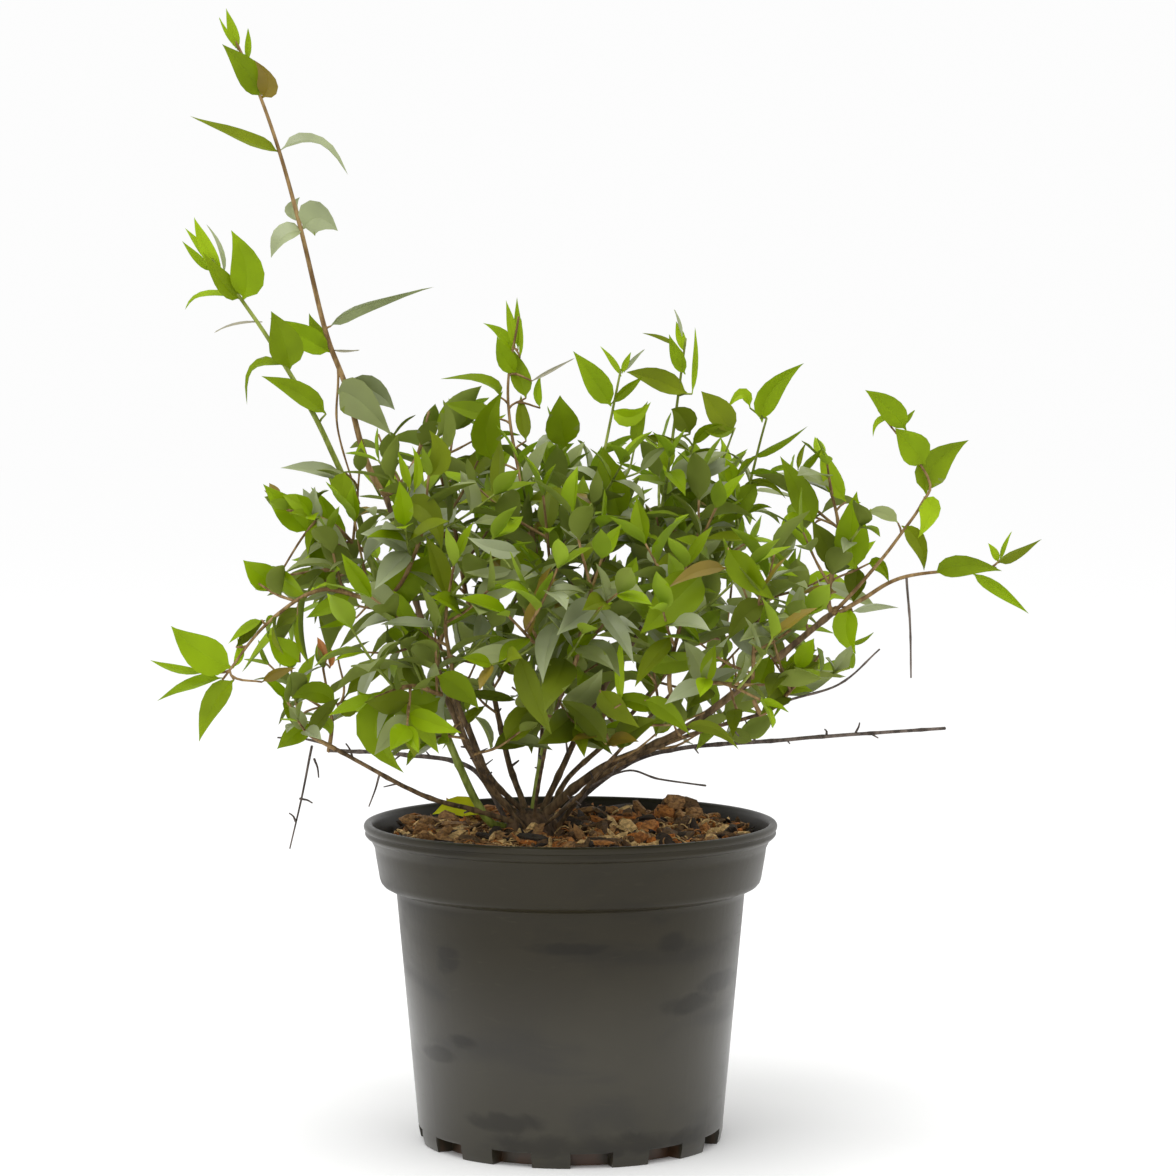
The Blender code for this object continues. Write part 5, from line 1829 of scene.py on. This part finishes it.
    def draw_leaf(self, place: LeafPlace, attempt: int) -> Leaf:
        """Draw a leaf for a place; each new attempt is shorter and may stand further round.

        With the bend b over its length l, along the heading h and away from the face f, its
        middle lies at (h sin(b/2) - f (1 - cos(b/2))) l / b and its tip at the same with b.

        Args:
            place: the place.
            attempt: the number of the attempt.

        Returns:
            The leaf.
        """
        habit, draw, young = self.habit, self.rng.uniform, place.young
        root, way = point_on(place.shoot.path, place.part)
        length = place.size * draw(*habit.length) * (1.0 - habit.shrink * attempt)
        angle = place.rise + math.radians(draw(*habit.rise_wander))
        aside = math.radians(draw(*habit.turn_wander)) * (1 + attempt * habit.more_wander)
        out = self.side_way(way, place.turn + aside)
        heading = unit(out * math.sin(angle) + way * math.cos(angle))
        face = unit(way - heading * way.dot(heading) + UP * habit.face_up)
        bend = math.radians(draw(*habit.bend)) * (1.0 - habit.young_bend * young)
        sag = UP * length * draw(*habit.sag) * (1.0 - young)
        middle = root + (heading * math.sin(bend / 2) - face * (1 - math.cos(bend / 2))) / bend * length
        tip = root + (heading * math.sin(bend) - face * (1 - math.cos(bend))) / bend * length - sag
        return Leaf(root, middle - sag * habit.middle_sag, tip, face, length * draw(*habit.width),
                    draw(*habit.fold), math.radians(draw(*habit.twist)), draw(*habit.wave),
                    self.tint(root, young, face))

    def grow_leaf(self, place: LeafPlace) -> None:
        """Grow a leaf at a place at the first attempt that finds room, or none.

        Args:
            place: the place.
        """
        for attempt in range(self.habit.tries):
            leaf = self.draw_leaf(place, attempt)
            if not WINDOW.allows(leaf.spread()):
                continue
            mate = (self.spray.name, "leaf", len(self.leaves) - 1)
            if self.space.is_clear(leaf.form(), LEAF_FORM_FACES, (place.shoot.key, mate)):
                self.space.add((self.spray.name, "leaf", len(self.leaves)), leaf.form(), LEAF_FORM_FACES)
                self.leaves.append(leaf)
                return

    def tint(self, place: np.ndarray, young: float, face: np.ndarray) -> LeafTint:
        """Return a leaf's tint by the tint habit.

        Args:
            place: where the leaf starts.
            young: how young it is, 0 to 1.
            face: the way it faces.

        Returns:
            The tint.
        """
        tints = self.tints
        # Leaves further out and higher get lighter tints: painted light and shade, on top of the young
        # leaves' own lighter colour.
        out = math.hypot(place[0] - tints.centre_x, place[1]) / tints.out_reach
        high = (place[2] - tints.low) / tints.high_reach
        light = (tints.out_weight * out + tints.high_weight * high + tints.young_weight * young
                 + self.spray.youth + self.rng.uniform(*tints.chance))
        draw = self.rng.random()
        # Leaves that face up are more often dealt the satin tints: a painted sheen of the sky.
        flat = max(0.0, float(face[2]) - tints.flat_from)
        if draw < tints.bronze_share:
            return BRONZE
        if young < tints.pale_sheen_youth and draw < tints.pale_sheen_share + tints.pale_sheen_flat * flat:
            return PALE
        if young < tints.sheen_youth and draw < tints.sheen_share + tints.sheen_flat * flat:
            return SHEEN
        step = math.floor(light * tints.step_scale - tints.step_start)
        return tints.steps[min(max(step, 0), len(tints.steps) - 1)]


def bark_relief(phase: np.ndarray, s: np.ndarray, a: np.ndarray) -> np.ndarray:
    """Return the bark's relief: ridges that wander along the limb, flutes and low knots.

    Args:
        phase: six angles that set where they lie.
        s: places along the limb, 0 to 1.
        a: angles round it.

    Returns:
        The factor on the radius.
    """
    ridges = 0.045 * np.sin(3 * a + phase[0] + 5.0 * np.sin(s * 7.0 + phase[1]))
    flutes = 0.03 * np.sin(5 * a + phase[2] + s * 23.0)
    knots = 0.05 * np.sin(s * 61.0 + phase[3]) * np.sin(a + phase[4] + s * 9.0)
    return 1.0 + ridges + flutes + knots


class Side(Enum):
    """The sides of the crown, each of which has its leaves in one piece."""
    BACK = "back"
    FRONT = "front"
    LEFT = "left"
    RIGHT = "right"

    @classmethod
    def of(cls, spray: Spray) -> "Side":
        """Return the side that a spray stands on, by its name or else by its tip.

        Args:
            spray: the spray.

        Returns:
            Its side.
        """
        left_of = -40.0
        for side in (cls.BACK, cls.FRONT):
            if spray.name.startswith(side.value):
                return side
        return cls.LEFT if spray.points[-1][0] < left_of else cls.RIGHT


@dataclass
class Plant:
    """The shrub: the stool, the boughs, and the sprays grown on them."""
    ground: float = 139.7
    stool_radius: float = 12.5
    stool_flare: float = 17.0
    stool_height: float = 13.5
    stool_root: float = 3.0
    foot_room: float = 6.6
    foot_flare: float = 0.12
    foot_flare_reach: float = 7.0
    lowest_way: float = 0.28
    bare_bark: float = 0.80
    first_node: float = 26.0
    node_step: float = 23.0
    node_swelling: float = 0.22
    node_reach: float = 1.9
    stub_seed: int = 40
    plain_boughs: tuple = ("leader_cane", "green_cane", "low_left_bough", "flat_left_bough")
    ends: dict = field(default_factory=dict)
    paths: dict = field(default_factory=dict)

    def feet(self, centre: np.ndarray) -> list[np.ndarray]:
        """Return each bough's direction off the stool, pushed apart until each foot has room.

        Args:
            centre: the middle of the stool.

        Returns:
            The directions, one for each bough.
        """
        rounds, push_step = 200, 0.02
        ways = [unit(np.array(bough.points[0], float) - centre) for bough in BOUGHS]
        for _ in range(rounds):
            for i in range(len(ways)):
                for j in range(i):
                    apart = ways[i] - ways[j]
                    if np.linalg.norm(apart) * self.stool_radius < self.foot_room:
                        push = unit(apart) * push_step
                        ways[i], ways[j] = unit(ways[i] + push), unit(ways[j] - push)
            ways = [unit(np.array([w[0], w[1], max(w[2], self.lowest_way)])) for w in ways]
        return ways

    def radii(self, bough: Bough, path: np.ndarray) -> np.ndarray:
        """Return the radius along a bough: tapered, flared at its foot and swollen at its nodes.

        Args:
            bough: the bough.
            path: its path.

        Returns:
            The radius at each point.
        """
        length = path_length(path)
        along = np.linspace(0.0, 1.0, len(path))
        radii = bough.foot_radius + (bough.tip_radius - bough.foot_radius) * along
        flare = self.foot_flare * np.exp(-((along * length) / self.foot_flare_reach) ** 2)
        radii = radii * self.bare_bark * (1.0 + flare)
        for node in np.arange(self.first_node, length, self.node_step):
            near = np.exp(-((along * length - node) / self.node_reach) ** 2)
            radii = radii * (1.0 + self.node_swelling * near)
        return radii

    def build_boughs(self) -> None:
        """Make each bough as its own piece, with bark relief, dry stubs and dead twiglets."""
        centre = np.array([*STOOL, self.ground + 1.0])
        for number, (bough, way) in enumerate(zip(BOUGHS, self.feet(centre))):
            foot = centre + way * (self.stool_radius * 0.45)
            shoulder = centre + way * (self.stool_radius + 0.8)
            path = smooth_path([foot, shoulder, *bough.points], way, 1.8)
            radii = self.radii(bough, path)
            phase = np.random.default_rng(number).uniform(0.0, 6.28, 6)
            shape = Shape()
            shape.add(*tube(path, radii, 12, partial(bark_relief, phase)))
            self.stubs(shape, path, radii, number, bough)
            for start, end in bough.twiglets:
                middle = (np.array(start) + end) * 0.5 + (0.5, 0.0, 0.4)
                line = smooth_path([start, middle, end], np.array(end, float) - start, 1.5)
                shape.add(*tube(line, np.linspace(0.62, 0.34, len(line)), 6), 1)
            slot = "green_bark" if bough.name == "green_cane" else "bark"
            shape.piece(bough.name + "_bark", [bough.wood.value, Wood.DEAD.value], slot, [bough.name], 60.0)
            aims = [unit(np.array(s.points[0], float) - path[-1]) for s in SPRAYS if s.bough == bough.name]
            self.paths[bough.name] = path
            self.ends[bough.name] = (path[-1], sum(aims, np.zeros(3)) / max(len(aims), 1))

    def stubs(self, shape: Shape, path: np.ndarray, radii: np.ndarray, number: int, bough: Bough) -> None:
        """Add short dry stubs where old side twigs broke off.

        Args:
            shape: the mesh that they join.
            path: the bough's path.
            radii: its radii.
            number: the bough's number, for the seed.
            bough: the bough.
        """
        rng = random.Random(self.stub_seed + number)
        for _ in range(3 if bough.foot_radius > 1.0 else 1):
            k = rng.randrange(len(path) // 4, len(path) - 3)
            way = unit(path[k + 1] - path[k])
            aside = np.array([rng.uniform(-1, 1), rng.uniform(-1, 1), rng.uniform(-0.6, 1)])
            out = unit(np.cross(way, aside))
            reach = rng.uniform(2.5, 8.0)
            line = path[k] + (out * 0.9 + way * 0.5) * reach * np.linspace(0.0, 1.0, 5)[:, None]
            shape.add(*tube(line, np.linspace(0.75, 0.42, 5) * min(1.0, radii[k] / 1.4), 6), 1)

    def build_stool(self) -> None:
        """Make the flared crown: lobed rings from the ground to a low dome, with rough bark.

        At the part p of its height the radius is R sqrt(1 - p^2.6) + (flare - R) e^(-7p).
        """
        sides = 64
        rise = np.concatenate([[-self.stool_root], np.linspace(0.0, 0.97, 15)])
        angle = angles_round(sides)[None, :]
        part = np.clip(rise, 0.0, 1.0)[:, None]
        radius = (self.stool_radius * np.sqrt(1.0 - part**2.6) + (self.stool_flare - self.stool_radius)
                  * np.exp(-part * 7.0))
        lobes = 1.0 + 0.07 * np.sin(angle * 5.0 + 1.0 + part) + 0.04 * np.sin(angle * 11.0 + part * 9.0)
        x = STOOL[0] + radius * lobes * np.cos(angle)
        y = STOOL[1] + radius * lobes * np.sin(angle)
        height = self.ground + np.where(rise > 0.0, rise * self.stool_height, rise)
        grid = np.stack([x, y, np.broadcast_to(height[:, None], x.shape)], axis=-1)
        poles = ((*STOOL, self.ground - self.stool_root), (*STOOL, self.ground + self.stool_height))
        shape = Shape()
        shape.add(np.concatenate([grid.reshape(-1, 3), poles]), closed_faces(len(rise), sides))
        shape.piece("stool_bark", [Wood.OLD.value], "bark", ["stool"], 60.0)

    def grow(self) -> list[Growth]:
        """Grow all the sprays side by side, so that each leaf finds its room.

        Returns:
            The grown sprays.
        """
        space = Space()
        for bough in BOUGHS:
            path = smooth_path([(*STOOL, self.ground + 6.0), *bough.points],
                               np.array(bough.points[0]) - (*STOOL, self.ground), 12.0)
            space.add((bough.name, "bough"), *plain_tube(path, bough.foot_radius * 0.9, 1, 4))
        growths = [Growth(spray, k, space) for k, spray in enumerate(SPRAYS)]
        for growth in growths:
            growth.grow_stem(*self.ends[growth.spray.bough])
        dressed = set(self.plain_boughs)
        for growth in growths:
            growth.grow_bare_twigs()
            growth.grow_side_twigs()
            if growth.spray.bough not in dressed:
                dressed.add(growth.spray.bough)
                growth.grow_low_twigs(self.paths[growth.spray.bough])
            growth.show_leaves()
        queues = [list(growth.leaf_places()) for growth in growths]
        for turn in range(max(len(queue) for queue in queues)):
            for growth, queue in zip(growths, queues):
                if turn < len(queue):
                    growth.grow_leaf(queue[turn])
        return growths

    def build_sprays(self) -> None:
        """Make the twigs of all sprays as one piece, and the leaves as a piece for each side."""
        growths, twigs, woods = self.grow(), Shape(), list(Wood)
        for shoot in (shoot for growth in growths for shoot in growth.shoots):
            twigs.add(*tube(shoot.path, shoot.radii(), 7), woods.index(shoot.wood))
        twigs.piece("twigs", [wood.value for wood in woods], "foliage", [s.name for s in SPRAYS], 60.0)
        for side in Side:
            chosen = [growth for growth in growths if Side.of(growth.spray) is side]
            leaves = [leaf for growth in chosen for leaf in growth.leaves]
            Blade().piece(leaves, f"{side.value}_leaves", [growth.spray.name for growth in chosen])
            LOG.info("%s leaves: %d", side.value, len(leaves))


def main() -> None:
    """Build the stage, the pot, the compost and the plant in that order."""
    logging.basicConfig(level=logging.INFO)
    Stage().build()
    Pot().build()
    compost = Compost()
    compost.bed()
    compost.heap()
    compost.threads()
    compost.fallen_leaf()
    plant = Plant()
    plant.build_stool()
    plant.build_boughs()
    plant.build_sprays()


if __name__ == "__main__":
    main()
